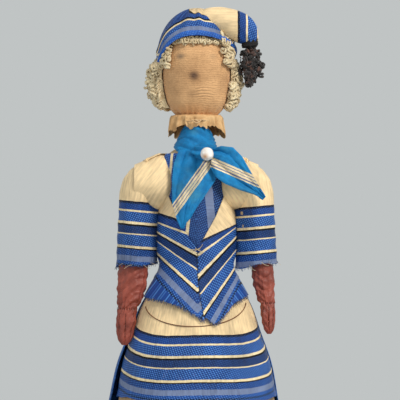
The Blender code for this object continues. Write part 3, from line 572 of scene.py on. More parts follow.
brown_thread = plain_weave("brown_thread", dye(140, 84, 46), dye(84, 46, 24), 0.0003)
turns = np.radians(np.linspace(-66, 66, 90))
path = on_figure(skirt, turns, tuck_height(turns) - 0.1, 0.62)
piece = thread_line("overskirt_tuck_thread", path, 0.24, brown_thread)
settle(piece, "torso", "striped_silk")

# ---------------------------------------------------------------- vest front
# The dark figured silk that fills the V of the bodice: a piece of the same ribbon set upright, so that its
# pale stripes stand on end beside the scarf.
TORSO = (
    (205, 21.0, 16.6, 17.4),
    (219, 15.8, 12.4, 12.4),
    (233.1, 17.0, 14.0, 13.5),
    (248.1, 16.6, 15.6, 14.2),
    (259, 15.6, 15.4, 14.3),
    (269.6, 16.4, 14.0, 13.2),
    (276.4, 16.4, 12.6, 11.8),
    (277.9, 16.2, 12.0, 11.2),
    (280.4, 15.0, 11.2, 10.4),
    (283.1, 11.2, 9.0, 8.8),
)
torso = smooth_rows(TORSO)
vest_silk = ribbon_silk(
    "vest_silk",
    (
        (-40, FIGURED), (-15.5, LINE), (-14.2, FIGURED), (-4.2, LINE), (-2.6, dye(26, 54, 112)), (4.4, LILAC),
        (8.6, dye(20, 40, 92)), (24, BLUE),
    ),
    ((-40, 0.7), (-15.5, 0.0), (-14.2, 0.8), (-4.2, 0.0), (-2.6, 0.45), (4.4, 0.05), (8.6, 0.55), (24, 0.6)),
    wear=0.3,
)
turns = np.radians(np.linspace(-78, 78, 60))[None, :]
heights = np.linspace(230, 281.2, 36)[:, None]
grid = on_figure(torso, turns, heights, 1.25 + 0.15 * ruffle(turns, heights, 5.0))
slant = grid[..., 0] + (heights - 255) * 0.10 * np.sign(turns)
piece = cloth("vest_silk_front", grid, 0.4, ribbon_map(heights, slant), vest_silk)
settle(piece, "torso", "figured_silk", "vest_front")
cut_cloth(piece, grid, "stretched", "torso_cover")

# ---------------------------------------------------------------- bodice
# Two fronts and a back of the striped ribbon, cut on the slant: the cream zone makes the shoulder yokes and
# the stripes meet in a V at the centre seam. The basque's raw edge frays below the waist.
bodice_silk = ribbon_silk("bodice_silk", wear=0.4)
V_LINE = ((234.5, 0.2), (239, 3.6), (249.7, 9.6), (265.5, 16.3), (270, 18.6), (278, 23.0))
# How far across the ribbon each stripe lies, its height at the centre seam, and its slope towards the side.
STRIPES_RIGHT = (
    (0, 245.7, 0.31), (4.75, 239.8, 0.35), (11, 231.1, 0.54), (16.4, 223.8, 0.68), (23, 214, 0.87),
    (28.8, 204.8, 0.97), (33, 198, 1.0),
)
STRIPES_LEFT = (
    (0, 237.6, 0.43), (4.75, 230.8, 0.71), (11, 219.9, 1.02), (16.4, 210.5, 1.18), (23, 198.6, 1.38),
    (28.8, 186, 1.7), (33, 178, 1.8),
)


def slanted(table, out, height):
    """How far across the ribbon a point lies, from its distance to the seam and its height."""
    v = np.array([row[0] for row in table], float)[:, None]
    z = np.array([row[1] for row in table], float)[:, None]
    m = np.array([row[2] for row in table], float)[:, None]
    lines = z + m * out.ravel()[None, :]
    h = height.ravel()
    result = np.empty(h.shape)
    for i in range(h.size):
        column = lines[::-1, i]
        if h[i] > column[-1]:
            result[i] = -(h[i] - column[-1])
        else:
            result[i] = np.interp(h[i], column, v[::-1, 0])
    return result.reshape(height.shape)


# The basque's lower edge: how far to the doll's left, and how high.
BASQUE = (
    (-26, 209.8), (-17, 208.4), (-7, 205.5), (1.0, 200.6), (3.6, 198.8), (4.6, 200.6), (8.6, 197.2), (12, 199.4),
    (15, 202.6), (18.4, 207), (26, 210.6),
)
BODICE_TOP = 281.4
SIDE_SEAM = np.radians(105)
SHOULDER_OUT, SHOULDER_UP = 27.5, 266


def seam_x(height):
    """The centre seam bends a little to the doll's left below the waist."""
    return 0.5 + np.clip((222 - height) / 22, 0, 1) ** 1.5 * 3.4


def bodice_offset(height, turn):
    """Close on the ribs, over the skirts' bands at the waist, with a padded roll over the sleeve head."""
    low = 5.4 - 3.3 * np.clip((height - 220) / 6.5, 0, 1) ** 0.8
    side = np.abs(np.sin(turn))
    level = np.interp(height, [276.2, 277.2, 278.5, 280.2, 281.6, 283.1], [0, 8.6, 7.4, 4.4, 2.6, 0.6])
    under_arm = np.interp(height, [224, 230, 252, 260], [0, 0.9, 0.9, 0])
    return low + level * np.clip((side - 0.78) / 0.22, 0, 1) + under_arm * np.clip((side - 0.75) / 0.25, 0, 1)


BASQUE_CLEAR = 1.7


def bodice_grid(turns, heights):
    """Points on the bodice: round the ribs above the waist, over the skirt below it."""
    upper = on_figure(torso, turns, heights, bodice_offset(heights, turns))
    lower = on_figure(skirt, turns, np.minimum(heights, WAIST), BASQUE_CLEAR)
    lower[..., 2] = heights
    blend = np.clip((heights - 217.0) / 5.0, 0, 1)[..., None]
    blend = blend * blend * (3 - 2 * blend)
    return upper * blend + lower * (1 - blend)


def armholes(piece):
    """Cut round rooms for the sleeve heads."""
    for sign in (1, -1):
        shape = bmesh.new()
        bmesh.ops.create_icosphere(shape, subdivisions=4, radius=0.01125)
        bmesh.ops.translate(shape, verts=shape.verts, vec=(sign * 0.0275, 0, 0.266))
        data = bpy.data.meshes.new("armhole")
        shape.to_mesh(data)
        shape.free()
        tool = bpy.data.objects.new("armhole", data)
        bpy.context.scene.collection.objects.link(tool)
        change = piece.modifiers.new("armhole", "BOOLEAN")
        change.operation, change.object, change.solver = "DIFFERENCE", tool, "EXACT"
        bpy.context.view_layer.update()
        done = bpy.data.meshes.new_from_object(piece.evaluated_get(bpy.context.evaluated_depsgraph_get()))
        piece.modifiers.clear()
        piece.data = done
        bpy.data.objects.remove(tool)
    piece.data.shade_smooth()
    piece.data.set_sharp_from_angle(angle=math.radians(50))
    return piece


def edge_low(x):
    return np.interp(x, *zip(*BASQUE))


for side, sign in SIDES:
    table = STRIPES_LEFT if sign > 0 else STRIPES_RIGHT
    rows, cols = 96, 72
    share = np.linspace(0, 1, rows)[:, None]
    out = np.linspace(0, 1, cols)[None, :]
    turns = sign * SIDE_SEAM * out + 0 * share
    heights = 206 + (BODICE_TOP - 206) * share + 0 * out
    for _ in range(3):
        size = torso(heights)
        half = size[..., 0] + bodice_offset(heights, turns)
        wide = np.where(heights > WAIST, half, skirt(np.minimum(heights, WAIST))[..., 0] + BASQUE_CLEAR)
        start = np.interp(heights, *zip(*V_LINE))
        start = np.where(heights < V_LINE[0][0], sign * seam_x(heights) + 0.12, start)
        first = np.arcsin(np.clip(start / wide, -0.3, 0.975))
        turns = sign * (first + (SIDE_SEAM - first) * out)
        x = wide * np.sin(turns)
        low = edge_low(x)
        heights = low + (BODICE_TOP - low) * share**0.9
    grid = bodice_grid(turns, heights)
    grid += across_of(grid, False) * (0.12 * ruffle(turns, heights, 2.0 + sign))[..., None]
    reach = np.abs(grid[..., 0] - 0.5)
    reach = np.where(np.abs(turns) > math.pi / 2, wide, reach)
    across = slanted(table, np.minimum(reach, 21.0), heights)
    marks = ribbon_map(reach * 0.8 + heights * 0.6, across)
    piece = armholes(cloth(f"bodice_silk_front_{side}", grid, 0.45, marks, bodice_silk))
    settle(piece, "torso", "striped_silk", f"bodice_front_{side}")
    cut_cloth(piece, grid, "stretched", "torso_cover")

rows, cols = 90, 90
turns = np.radians(np.linspace(105.6, 254.4, cols))[None, :] + np.zeros((rows, 1))
heights = 210.5 + (BODICE_TOP - 210.5) * np.linspace(0, 1, rows)[:, None] ** 0.9 + np.zeros((1, cols))
grid = bodice_grid(turns, heights)
reach = np.abs(grid[..., 0])
across = slanted(STRIPES_RIGHT, np.minimum(reach + 3, 21.0), heights)
marks = ribbon_map(reach * 0.8 + heights * 0.6, across)
piece = armholes(cloth("bodice_silk_back", grid, 0.45, marks, bodice_silk))
settle(piece, "torso", "striped_silk", "bodice_back")
cut_cloth(piece, grid, "stretched", "torso_cover")


# Every stitch, frayed end and curl is one short thread, laid by the same set of nodes.
def lay_threads(name, spots, finish, thickness, length, bend=0.0, turns=0.0, spin=1.0, scatter=0.4, seed=1, sides=4):
    """Threads at (mm point, direction) spots. turns above zero coils each thread into a curl of radius bend.

    spin is how far each is turned at random about its own line, scatter how much shorter it may be.
    """
    data = bpy.data.meshes.new(name)
    data.from_pydata([tuple(np.asarray(p) * MM) for p, _ in spots], [], [])
    heading = data.attributes.new("heading", "FLOAT_VECTOR", "POINT")
    heading.data.foreach_set("vector", np.array([d for _, d in spots], np.float32).ravel())
    piece = bpy.data.objects.new(name, data)
    bpy.context.scene.collection.objects.link(piece)
    group = bpy.data.node_groups.new(name + "_nodes", "GeometryNodeTree")
    face = group.interface
    face.new_socket("Geometry", in_out="INPUT", socket_type="NodeSocketGeometry")
    for label, value in (("Thickness", thickness), ("Length", length), ("Bend", bend), ("Scatter", scatter)):
        face.new_socket(label, in_out="INPUT", socket_type="NodeSocketFloat").default_value = value
    face.new_socket("Geometry", in_out="OUTPUT", socket_type="NodeSocketGeometry")

    def node(kind, sockets=None, **settings):
        made = group.nodes.new(kind)
        for key, value in settings.items():
            setattr(made, key, value)
        for key, value in (sockets or {}).items():
            if isinstance(value, bpy.types.NodeSocket):
                group.links.new(value, made.inputs[key])
            else:
                made.inputs[key].default_value = value
        return made

    def number_from(made):
        return [s for s in made.outputs if s.type == "VALUE" and s.enabled][0]

    given = node("NodeGroupInput").outputs
    if turns > 0:
        line = node("GeometryNodeCurveSpiral", {
            "Resolution": 9, "Rotations": turns, "Start Radius": given["Bend"], "End Radius": given["Bend"],
            "Height": given["Length"],
        })
    else:
        halfway = node("ShaderNodeMath", {0: given["Length"], 1: 0.5}, operation="MULTIPLY")
        arc = node("ShaderNodeCombineXYZ", {0: given["Bend"], 2: halfway.outputs[0]})
        end = node("ShaderNodeCombineXYZ", {2: given["Length"]})
        line = node("GeometryNodeCurveQuadraticBezier", {
            "Resolution": 4, "Start": (0, 0, 0), "Middle": arc.outputs[0], "End": end.outputs[0],
        })
    ring = node("GeometryNodeCurvePrimitiveCircle", {"Resolution": sides, "Radius": given["Thickness"]})
    tube = node("GeometryNodeCurveToMesh", {
        "Curve": line.outputs[0], "Profile Curve": ring.outputs[0], "Fill Caps": True,
    })
    way = node("GeometryNodeInputNamedAttribute", {"Name": "heading"}, data_type="FLOAT_VECTOR")
    aim = node("FunctionNodeAlignRotationToVector", {"Vector": way.outputs[0]}, axis="Z")
    random_turn = node("FunctionNodeRandomValue", {"Max": math.tau * spin, "Seed": seed})
    roll = node("ShaderNodeCombineXYZ", {2: number_from(random_turn)})
    turned = {"Rotation": aim.outputs[0], "Rotate By": roll.outputs[0]}
    rolled = node("FunctionNodeRotateRotation", turned, rotation_space="LOCAL")
    low = node("ShaderNodeMath", {0: 1.0, 1: given["Scatter"]}, operation="SUBTRACT").outputs[0]
    size = node("FunctionNodeRandomValue", {"Seed": seed + 7})
    for socket in size.inputs:
        if socket.enabled and socket.name == "Min":
            group.links.new(low, socket)
    points = node("GeometryNodeMeshToPoints", {"Mesh": given["Geometry"]})
    laid = node("GeometryNodeInstanceOnPoints", {
        "Points": points.outputs[0], "Instance": tube.outputs[0], "Rotation": rolled.outputs[0],
        "Scale": number_from(size),
    })
    whole = node("GeometryNodeRealizeInstances", {"Geometry": laid.outputs[0]})
    done = node("GeometryNodeSetMaterial", {"Geometry": whole.outputs[0], "Material": finish})
    node("NodeGroupOutput", {"Geometry": done.outputs[0]})
    change = piece.modifiers.new("threads", "NODES")
    change.node_group = group
    for item in face.items_tree:
        if item.item_type == "SOCKET" and item.in_out == "INPUT" and item.name != "Geometry":
            change[item.identifier] = item.default_value
    bpy.context.view_layer.update()
    plain = bpy.data.meshes.new_from_object(piece.evaluated_get(bpy.context.evaluated_depsgraph_get()))
    piece.modifiers.clear()
    piece.data = plain
    plain.shade_smooth()
    return piece


pale_thread = plain_weave("pale_thread", dye(232, 216, 184), dye(176, 150, 112), 0.0003)
blue_thread = plain_weave("blue_thread", dye(60, 104, 168), dye(18, 42, 92), 0.0003)
dark_thread = plain_weave("dark_thread", dye(22, 26, 44), dye(8, 10, 20), 0.0003)

# Overcast stitches up the centre seam, with four crossed stitches at the foot of the V.
spots = []
for z in np.arange(203, 234, 1.7):
    x = float(seam_x(np.array(z)))
    p = bodice_grid(np.array([[math.asin(x / 20)]]), np.array([[z]]))[0, 0]
    spots.append(((x - 0.7, p[1] - 0.12, z - 0.3), (1.0, 0.0, 0.55)))
piece = lay_threads("centre_seam_stitches", spots, dark_thread, 0.00014, 0.0016, 0.0002, spin=0.0, scatter=0.1)
settle(piece, "torso", "striped_silk")
POINT_HEIGHT = 233.4
crossed = (
    (-3.4, 0.2, (1, 0, 0.05)), (-2.6, -0.9, (1, 0, 0.55)), (-1.4, 1.0, (1, 0, -0.6)), (0.0, -0.4, (0.7, 0, 1)),
)
p = bodice_grid(np.array([[0.0]]), np.array([[POINT_HEIGHT]]))[0, 0]
spots = [((0.8 + dx, p[1] - 0.3, POINT_HEIGHT + dz), across) for dx, dz, across in crossed]
piece = lay_threads("neck_point_stitches", spots, pale_thread, 0.00015, 0.0042, 0.0003, spin=0.0, scatter=0.1)
settle(piece, "torso", "striped_silk")

# The frayed edge of the basque.
random.seed(4)
spots, pale_spots = [], []
for _ in range(420):
    x = random.uniform(-25, 25.5)
    z = float(edge_low(x))
    wide = float(skirt(np.array(z))[0]) + 1.5
    turn = math.asin(max(-0.99, min(0.99, x / wide)))
    p = bodice_grid(np.array([[turn]]), np.array([[z + 0.5]]))[0, 0]
    way = (random.uniform(-0.5, 0.5) + 0.3 * math.sin(turn), -0.25 * math.cos(turn), -1.0)
    (pale_spots if random.random() < 0.12 else spots).append((p, way))
piece = lay_threads("basque_fray", spots, blue_thread, 0.00009, 0.0021, 0.0003, scatter=0.6, sides=3)
settle(piece, "torso", "striped_silk")
piece = lay_threads("basque_fray_pale", pale_spots, pale_thread, 0.00009, 0.0026, 0.0004, scatter=0.6, sides=3)
settle(piece, "torso", "striped_silk")

# ---------------------------------------------------------------- shoulder caps
# The yoke carries on over each shoulder as a cap of the same silk, sewn to the top of the sleeve. It moves with
# the shoulder tape when the arm lifts. Each row is a ring: how far it is from the shoulder, and its radius.
CAP_ROWS = (
    (-15.5, 10.6), (-14.5, 11.6), (-12.5, 12.5), (-9.5, 12.9), (-6.0, 12.6), (-3.0, 11.95), (0.0, 11.45),
    (2.0, 11.1), (3.4, 10.85),
)


def eased(values, times):
    """A run of numbers with its corners rounded off."""
    for _ in range(times):
        values = np.concatenate((values[:1], (values[:-2] + 2 * values[1:-1] + values[2:]) / 4, values[-1:]))
    return values


for side, sign in SIDES:
    table = STRIPES_LEFT if sign > 0 else STRIPES_RIGHT
    out = np.linspace(CAP_ROWS[0][0], CAP_ROWS[-1][0], 40)[:, None]
    around = all_round(96)[None, :]
    radius = eased(np.interp(out, *zip(*CAP_ROWS)), 3)
    radius = radius + 0.10 * ruffle(around, out * 3, 19.0 + sign) * np.clip((3.4 - out) / 3, 0, 1)
    up = np.clip(np.sin(around), 0, 1)
    slope = 1 - 0.10 * np.clip((out + 1) / 4.4, 0, 1) * up + 0.12 * np.clip((-out - 2.5) / 5, 0, 1) * up**2
    level = SHOULDER_UP + radius * slope * np.sin(around)
    grid = np.stack(np.broadcast_arrays(sign * (SHOULDER_OUT + out), -radius * np.cos(around), level), -1)
    over = join_round(grid)
    reach = np.abs(over[..., 0]) - 0.5
    marks = ribbon_map(reach * 0.8 + over[..., 2] * 0.6, slanted(table, reach, over[..., 2]))
    core = (sign * 24, 0, SHOULDER_UP)
    piece = cloth(f"shoulder_cap_silk_{side}", grid, 0.4, marks, bodice_silk, closed=True, core=core)
    settle(piece, f"shoulder_tab_{side}", "striped_silk")
    cut_cloth(piece, grid, "stretched", f"sleeve_silk_{side}")

# ---------------------------------------------------------------- upper arms
# The upper arm is a slim cotton bag packed with wool waste, inside the sleeve.
ARM_RADIUS = 7.9
ARM_MIDDLE = (28.5, 0, 250)
for side, sign in SIDES:
    rows = [(230.6, 0.3), (230.7, 3.6), (231.3, 5.8), (232.8, 7.2)]
    rows += [(z, ARM_RADIUS) for z in np.linspace(235, SHOULDER_UP, 14)]
    for lean in np.radians(np.linspace(8, 86, 9)):
        rows.append((SHOULDER_UP + ARM_RADIUS * math.sin(lean), ARM_RADIUS * math.cos(lean)))
    around = all_round(40)
    grid = []
    for z, r in rows:
        out = SHOULDER_OUT + 2.4 * max(0, SHOULDER_UP - z) / 38 + r * np.sin(around)
        grid.append(np.stack((sign * out, -r * np.cos(around) * 0.86, z + 0 * around), -1))
    core = np.multiply(ARM_MIDDLE, (sign, 1, 1))
    piece = cloth(f"upper_arm_bag_{side}", np.array(grid), 0.4, None, calico, closed=True, pole=True, core=core)
    settle(piece, f"upper_arm_{side}", "lining_cotton", f"upper_arm_cover_{side}", f"upper_arm_stuffing_{side}")

# ---------------------------------------------------------------- sleeves
# Elbow sleeves of the same ribbon wrapped round the arm: cream over the shoulder, where they carry on from
# the yokes, striped below, and frayed at the elbow.
sleeve_silk = ribbon_silk("sleeve_silk", wear=0.5)
SLEEVE_EDGE = {"left": 254.8, "right": 257.2}
HEAD_RADIUS = 10.7


def outwards(grid, core):
    """Unit normals of a closed piece, away from its core."""
    n = across_of(grid, True)
    return n * np.sign((n * (grid - core)).sum())


for side, sign in SIDES:
    body = f"upper_arm_{side}"
    cols = 64
    around = all_round(cols)[None, :]
    rings = []
    for z in np.linspace(225.6, SHOULDER_UP, 44):
        s = (SHOULDER_UP - z) / 40
        cx = SHOULDER_OUT + 2.7 * np.interp(s, [0, 0.33, 0.64, 1], [0, 0.52, 0.78, 1])
        r = np.interp(s, [0, 0.2, 0.36, 1.0], [HEAD_RADIUS, 10.4, 9.9, 10.0])
        rings.append((cx, z, r))
    for lean in np.radians(np.linspace(6, 86, 15)):
        rings.append((SHOULDER_OUT, SHOULDER_UP + HEAD_RADIUS * math.sin(lean), HEAD_RADIUS * math.cos(lean)))
    grid = np.empty((len(rings), cols, 3))
    for i, (cx, z, r) in enumerate(rings):
        inward = np.clip(-np.sin(around[0]), 0, 1) * np.clip((262 - z) / 8, 0, 1)
        grid[i, :, 0] = sign * (cx + (r + 0.6 * inward**4) * np.sin(around[0]))
        grid[i, :, 1] = -r * np.cos(around[0]) * (1 - 0.62 * inward**1.2)
        grid[i, :, 2] = z
    heights = grid[..., 2]
    core = np.multiply(ARM_MIDDLE, (sign, 1, 1))
    n = outwards(grid, core)
    creases = 0.22 * ruffle(around + 0 * heights, heights * 1.6, 11.0 + sign)
    creases = creases + 0.15 * np.sin(heights * 0.9 + 2 * np.sin(around * 2))
    low_part = np.clip((262 - heights) / 14, 0, 1)
    outward = np.clip(np.sin(around), 0, 1)
    steep = 1.25 - np.abs(np.clip((heights - 262) / 14.7, 0, 1) - 0.45)
    slope = np.clip((heights - 262) / 10, 0, 1) * np.clip(steep, 0, 1)
    grid += n * ((creases * low_part - 1.9 * outward * slope)[..., None])
    grid[0, :, 2] += 0.7 * np.sin(around[0] * 3 + sign) + (1.6 if sign > 0 else -0.6) * np.sin(around[0])
    wrap = np.linspace(0, math.tau, cols + 1)[None, :]
    edge = SLEEVE_EDGE[side] + 0.9 * np.sin(wrap)
    marks = ribbon_map(wrap * 10, (edge - join_round(heights)) * 1.02)
    piece = cloth(f"sleeve_silk_{side}", grid, 0.4, marks, sleeve_silk, closed=True, pole=True, core=core)
    settle(piece, body, "striped_silk", f"sleeve_{side}")
    cut_cloth(piece, grid, "stretched", f"upper_arm_bag_{side}")
    random.seed(20 + sign)
    spots = []
    for _ in range(120):
        start = grid[0, random.randrange(cols)] + np.array([0, 0, 0.3])
        spots.append((start, (random.uniform(-0.6, 0.6), random.uniform(-0.4, 0.3), -1.0)))
    piece = lay_threads(f"sleeve_fray_{side}", spots, blue_thread, 0.00009, 0.0018, 0.0004, scatter=0.7, sides=3)
    settle(piece, body, "striped_silk")
    starts = grid[0] + np.array([0, -0.2, 0.6])
    spots = []
    for c in range(40, 62, 4):
        spots.append((starts[c], (random.choice((-1, 1)), -0.15, random.uniform(-0.9, -0.2))))
    for c in range(2, 22, 5):
        spots.append((starts[c], (random.choice((-1, 1)), -0.15, -0.5)))
    piece = lay_threads(f"sleeve_loose_threads_{side}", spots, pale_thread, 0.00011, 0.0042, 0.0008, scatter=0.5)
    settle(piece, body, "striped_silk")

# ---------------------------------------------------------------- gloves
# Gauntlets of thin red-brown leather over the stuffed forearms, creased from wear, drawn in at the wrist
# with puckers, with seams for the fingers.
glove_leather = leather("glove_leather", dye(170, 84, 66), dye(98, 40, 30), 0.004, Specular_IOR_Level=0.4)
leather_thread = plain_weave("leather_thread", dye(92, 40, 28), dye(50, 20, 14), 0.0003)
# Share of the way down, outwards, forwards, half width and half depth in millimetres.
GLOVE = (
    (-0.11, 0.6, 0.0, 7.4, 7.0),
    (0.00, 0.9, 0.4, 7.3, 6.8),
    (0.14, 1.2, 1.5, 7.2, 6.1),
    (0.27, 2.0, 2.8, 6.6, 5.2),
    (0.40, 2.8, 4.1, 5.6, 4.4),
    (0.50, 3.6, 5.2, 4.7, 3.8),
    (0.56, 4.0, 5.8, 4.6, 3.6),
    (0.66, 4.3, 6.5, 4.9, 3.4),
    (0.84, 4.6, 7.3, 4.2, 2.9),
    (0.94, 4.8, 7.8, 3.2, 2.2),
    (1.00, 4.9, 8.1, 1.4, 1.0),
)
glove_table = np.array(GLOVE)
WRIST, CUFF_HEIGHT = 0.50, 222
# How far out of the sleeve's middle each glove hangs, how slim it is and how long below the cuff.
glove_sizes = {"left": (2.2, 0.72, 30.5), "right": (0.6, 1.0, 36.0)}
for side, sign in SIDES:
    shift, slim, length = glove_sizes[side]
    cols, count = 72, 100
    around = all_round(cols)
    shares = np.linspace(glove_table[0, 0], 1.0, count)
    values = [eased(np.interp(shares, glove_table[:, 0], glove_table[:, i]), 4) for i in range(1, 5)]
    grid = np.empty((count, cols, 3))
    for i, s in enumerate(shares):
        out, forward, wide, deep = (v[i] for v in values)
        hand = np.clip((s - 0.64) / 0.08, 0, 1)
        fingers = 1 - 0.22 * hand * np.clip(np.cos(np.sin(around) * 8.0), 0, 1) ** 2 * (np.abs(np.cos(around)) > 0.25)
        pucker = 1 + 0.06 * np.sin(around * 13) * math.exp(-(((s - WRIST) / 0.05) ** 2))
        pucker = pucker - 0.07 * math.exp(-(((s - WRIST) / 0.025) ** 2))
        thumb_side = np.exp(-(((around - math.radians(312)) / 0.40) ** 2))
        thumb = 1 + 0.34 * math.exp(-(((s - 0.68) / 0.07) ** 2)) * thumb_side
        r = fingers * pucker * thumb
        lean_out = out * (0.75 if side == "left" else 1)
        grid[i, :, 0] = sign * (30.2 + shift + lean_out + slim * wide * r * np.sin(around))
        grid[i, :, 1] = -forward - deep * r * np.cos(around)
        grid[i, :, 2] = CUFF_HEIGHT - s * (length if s > 0 else 36)
    n = outwards(grid, grid.mean(1, keepdims=True))
    z = grid[..., 2]
    lean = z + 3.5 * np.sin(around + 0.8 + sign) + 1.5 * np.sin(around * 2 + sign)
    deep_folds = np.abs(np.sin(lean * 0.50 + sign)) ** 0.5 - 0.6
    fine_folds = 0.22 * np.sin(lean * 1.7 + 2 * np.sin(around * 2))
    fine_folds = fine_folds + 0.35 * ruffle(around[None, :] + 0 * z, z * 3.2, 31.0 + 3 * sign, 14.0)
    sleeve_part = np.clip((0.62 - shares) * 9, 0.25, 1)[:, None]
    fade = np.clip(np.minimum(shares + 0.09, 1.0 - shares) * 8, 0, 1)[:, None]
    grid += n * ((0.85 * deep_folds * sleeve_part + fine_folds * (0.35 + 0.65 * sleeve_part)) * fade)[..., None]
    grid[0, :, 2] += 0.6 * np.sin(around * 2 + sign)
    marks = ribbon_map(np.linspace(0, 40, cols + 1)[None, :], shares[:, None] * 36)
    core = (sign * 34, -4, 204)
    piece = cloth(f"glove_leather_{side}", grid, 0.35, marks, glove_leather, closed=True, pole=True, core=core)
    settle(piece, f"forearm_{side}", "glove_leather", f"glove_{side}", f"forearm_stuffing_{side}")
    i = int(count * 0.56)
    spots = [(grid[i, c] + n[i, c] * 0.05, (0.1, 0, 1)) for c in range(0, cols, 3)]
    for c in (1, 9, 64):
        for i in range(int(count * 0.62), count - 8, 3):
            spots.append((grid[i, c] + n[i, c] * 0.08, (0.3, 0, 1)))
    stitch = (0.00011, 0.0012, 0.0002)
    piece = lay_threads(f"glove_stitches_{side}", spots, leather_thread, *stitch, spin=0.0, scatter=0.2)
    settle(piece, f"forearm_{side}", "glove_leather")

# ---------------------------------------------------------------- neck
# The head cloth is gathered on a rolled linen neck, wound tight with thread, and its loose edge stands out
# below as a frill.
linen = plain_weave("neck_linen", dye(236, 196, 142), dye(178, 132, 82), 0.0005, 0.005)
string = plain_weave("neck_string", dye(240, 208, 162), dye(190, 150, 104), 0.0003)
dress(linen, "neck_roll")


def wound(centre, radii, height, turns, wobble=0.3):
    """Points in mm of a thread wound round and round."""
    s = np.linspace(0, 1, turns * 28)
    angle = s * turns * math.tau
    r = 1 + 0.03 * np.sin(angle * 0.37)
    level = centre[2] + height * (s - 0.5) + wobble * np.sin(angle * 0.5) + wobble * np.sin(angle)
    return np.stack((centre[0] + radii[0] * r * np.sin(angle), centre[1] - radii[1] * r * np.cos(angle), level), -1)


path = wound((0, 0, 298.9), (9.6, 9.2), 1.6, 5)
piece = thread_line("neck_string_winding", path, 0.3, string)
settle(piece, "neck", "linen", "neck_string")
s = np.linspace(0, 1, 60)
bow = 1.0 - 14.6 * np.sin(np.pi * np.clip(s * 0.86 + 0.07, 0, 1))
front = np.stack((-12.6 + 24.5 * s, bow, 299.8 - 2.6 * np.sin(np.pi * s) + 0.5 * np.sin(s * 14)), -1)
settle(thread_line("neck_string_across", front, 0.34, string), "neck", "linen")
curl = s * 9.5
loop = np.stack((-0.8 + 1.7 * np.sin(curl) + 1.2 * s, -14.9 - 0.5 * np.cos(curl), 296.9 + 0.7 * np.cos(s * 14)), -1)
settle(thread_line("neck_string_tie", loop, 0.36, string), "neck", "linen")

around = all_round(180)
loose = np.clip((0.75 - np.cos(around)) / 0.9, 0, 1)
sideways = np.abs(np.sin(around))
rows = []
for share in np.linspace(0, 1, 26):
    out = np.clip(share / 0.28, 0, 1)
    r = 8.6 + (3.4 + 1.2 * sideways) * np.sin(out * np.pi / 2) + 0.8 * sideways * np.clip(share - 0.28, 0, 1)
    drop = 1.6 * out**2 + (4.6 + 3.6 * loose) * np.clip((share - 0.28) / 0.72, 0, 1)
    uneven = ruffle(around * 3, 0 * around + share * 14, 77.0, 7.0)
    crimp = 0.05 * np.sin(around * 11 + 1.0 + uneven) + 0.04 * np.sin(around * 17 + 2.2) + 0.07 * uneven
    wave = 1 + np.clip(share * 1.3, 0, 1) * crimp
    level = 300.6 - drop * (1 + 0.22 * uneven) + 0.9 * share * np.sin(around * 9 + 2 * uneven)
    rows.append(np.stack((r * wave * np.sin(around), -r * wave * np.cos(around), level), -1))
grid = np.array(rows)[::-1]
piece = cloth("neck_frill_linen", grid, 0.28, None, linen, closed=True)
settle(piece, "neck", "linen", "neck_frill")
cut_cloth(piece, join_round(grid), "gathered", "neck_roll")

# ---------------------------------------------------------------- scarf
# A kerchief of turquoise silk with a few cream lines near its edge, wound round the neck in soft folds,
# knotted at the front and pinned with a bead.
SCARF = dye(22, 128, 190)
SCARF_LINES = (
    (-40, SCARF), (-2.4, dye(228, 212, 176)), (-1.5, dye(96, 104, 150)), (-1.0, dye(236, 218, 180)),
    (-0.2, dye(120, 124, 160)), (0.3, dye(232, 214, 176)), (1.1, dye(110, 112, 150)), (1.6, dye(236, 222, 186)),
    (2.4, SCARF),
)


def scarf_silk(name, stripes=SCARF_LINES):
    """Soft turquoise silk with fine ribs, greenish faded patches, painted sheen and painted shade in its creases."""
    made = Finish(name, Specular_IOR_Level=0.25)
    place = made.place()
    along, across, _ = made.axes(made.put("UVMap", uv_map="ribbon"))
    wander = (made.speckle(place, 0.003) - 0.5) * 0.5
    colour = bands(made, across + wander, stripes)
    cloud = made.speckle(place, 0.009, 4.0)
    crease = made.speckle(place, 0.0022, 3.0)
    # cloud and crease noise scale the colour: painted sheen in soft patches, and painted shade in the creases, whose
    # noise also gives the relief.
    light = made.grade(cloud * 0.6 + crease * 0.4, (0.42, 0.48, 0.55, 1), (1.5, 1.42, 1.32, 1))
    colour = made.blend(1.0, colour, light, "MULTIPLY")
    faded = made.positive(made.speckle(place, 0.012, 2.0) - 0.56) * 2.0
    colour = made.blend(faded, colour, dye(84, 150, 158))
    ribs = made.sine(along, 0.35) * 0.3 + made.sine(across, 0.35) * 0.3
    return made.done(colour, cloud * 0.2 + 0.4, ribs * 0.4 + crease, 0.0003)


scarf_finish = scarf_silk("scarf_silk")
plain_scarf = scarf_silk("scarf_silk_plain", ((-40, SCARF), (38, dye(30, 120, 180))))

cols, count = 120, 48
around = all_round(cols)
front = np.clip(np.cos(around), 0, 1)
low = 284.6 - 5.4 * front**2
high = 289.6 + 6.8 * front**1.3 - 2.4 * np.clip(np.sin(around), 0, 1) * front
rows = []
for share in np.linspace(0, 1, count):
    z = low + (high - low) * share
    r = 10.6 - 2.0 * share + 4.0 * front**2 * (1 - 0.45 * share) + 1.3 * np.clip(-np.sin(around), 0, 1) * (1 - share)
    tilt = share * 9.5 + 1.9 * np.sin(around - 0.4) + 0.8 * np.sin(around * 3)
    folds = 0.75 * (np.abs(np.sin(tilt)) ** 0.6 - 0.6) + 0.12 * np.sin(share * 25 + around * 2)
    r = r + folds * np.clip(np.minimum(share, 1 - share) * 7, 0.2, 1)
    rows.append(np.stack((r * np.sin(around) * 0.97, -r * np.cos(around), z), -1))
grid = np.array(rows)
marks = ribbon_map(np.linspace(0, 60, cols + 1)[None, :], np.linspace(14, 32, count)[:, None])
piece = cloth("scarf_band_silk", grid, 0.6, marks, plain_scarf, closed=True)
settle(piece, "torso", "scarf_silk", "scarf_band")
cut_cloth(piece, join_round(grid), "gathered", "torso_cover")


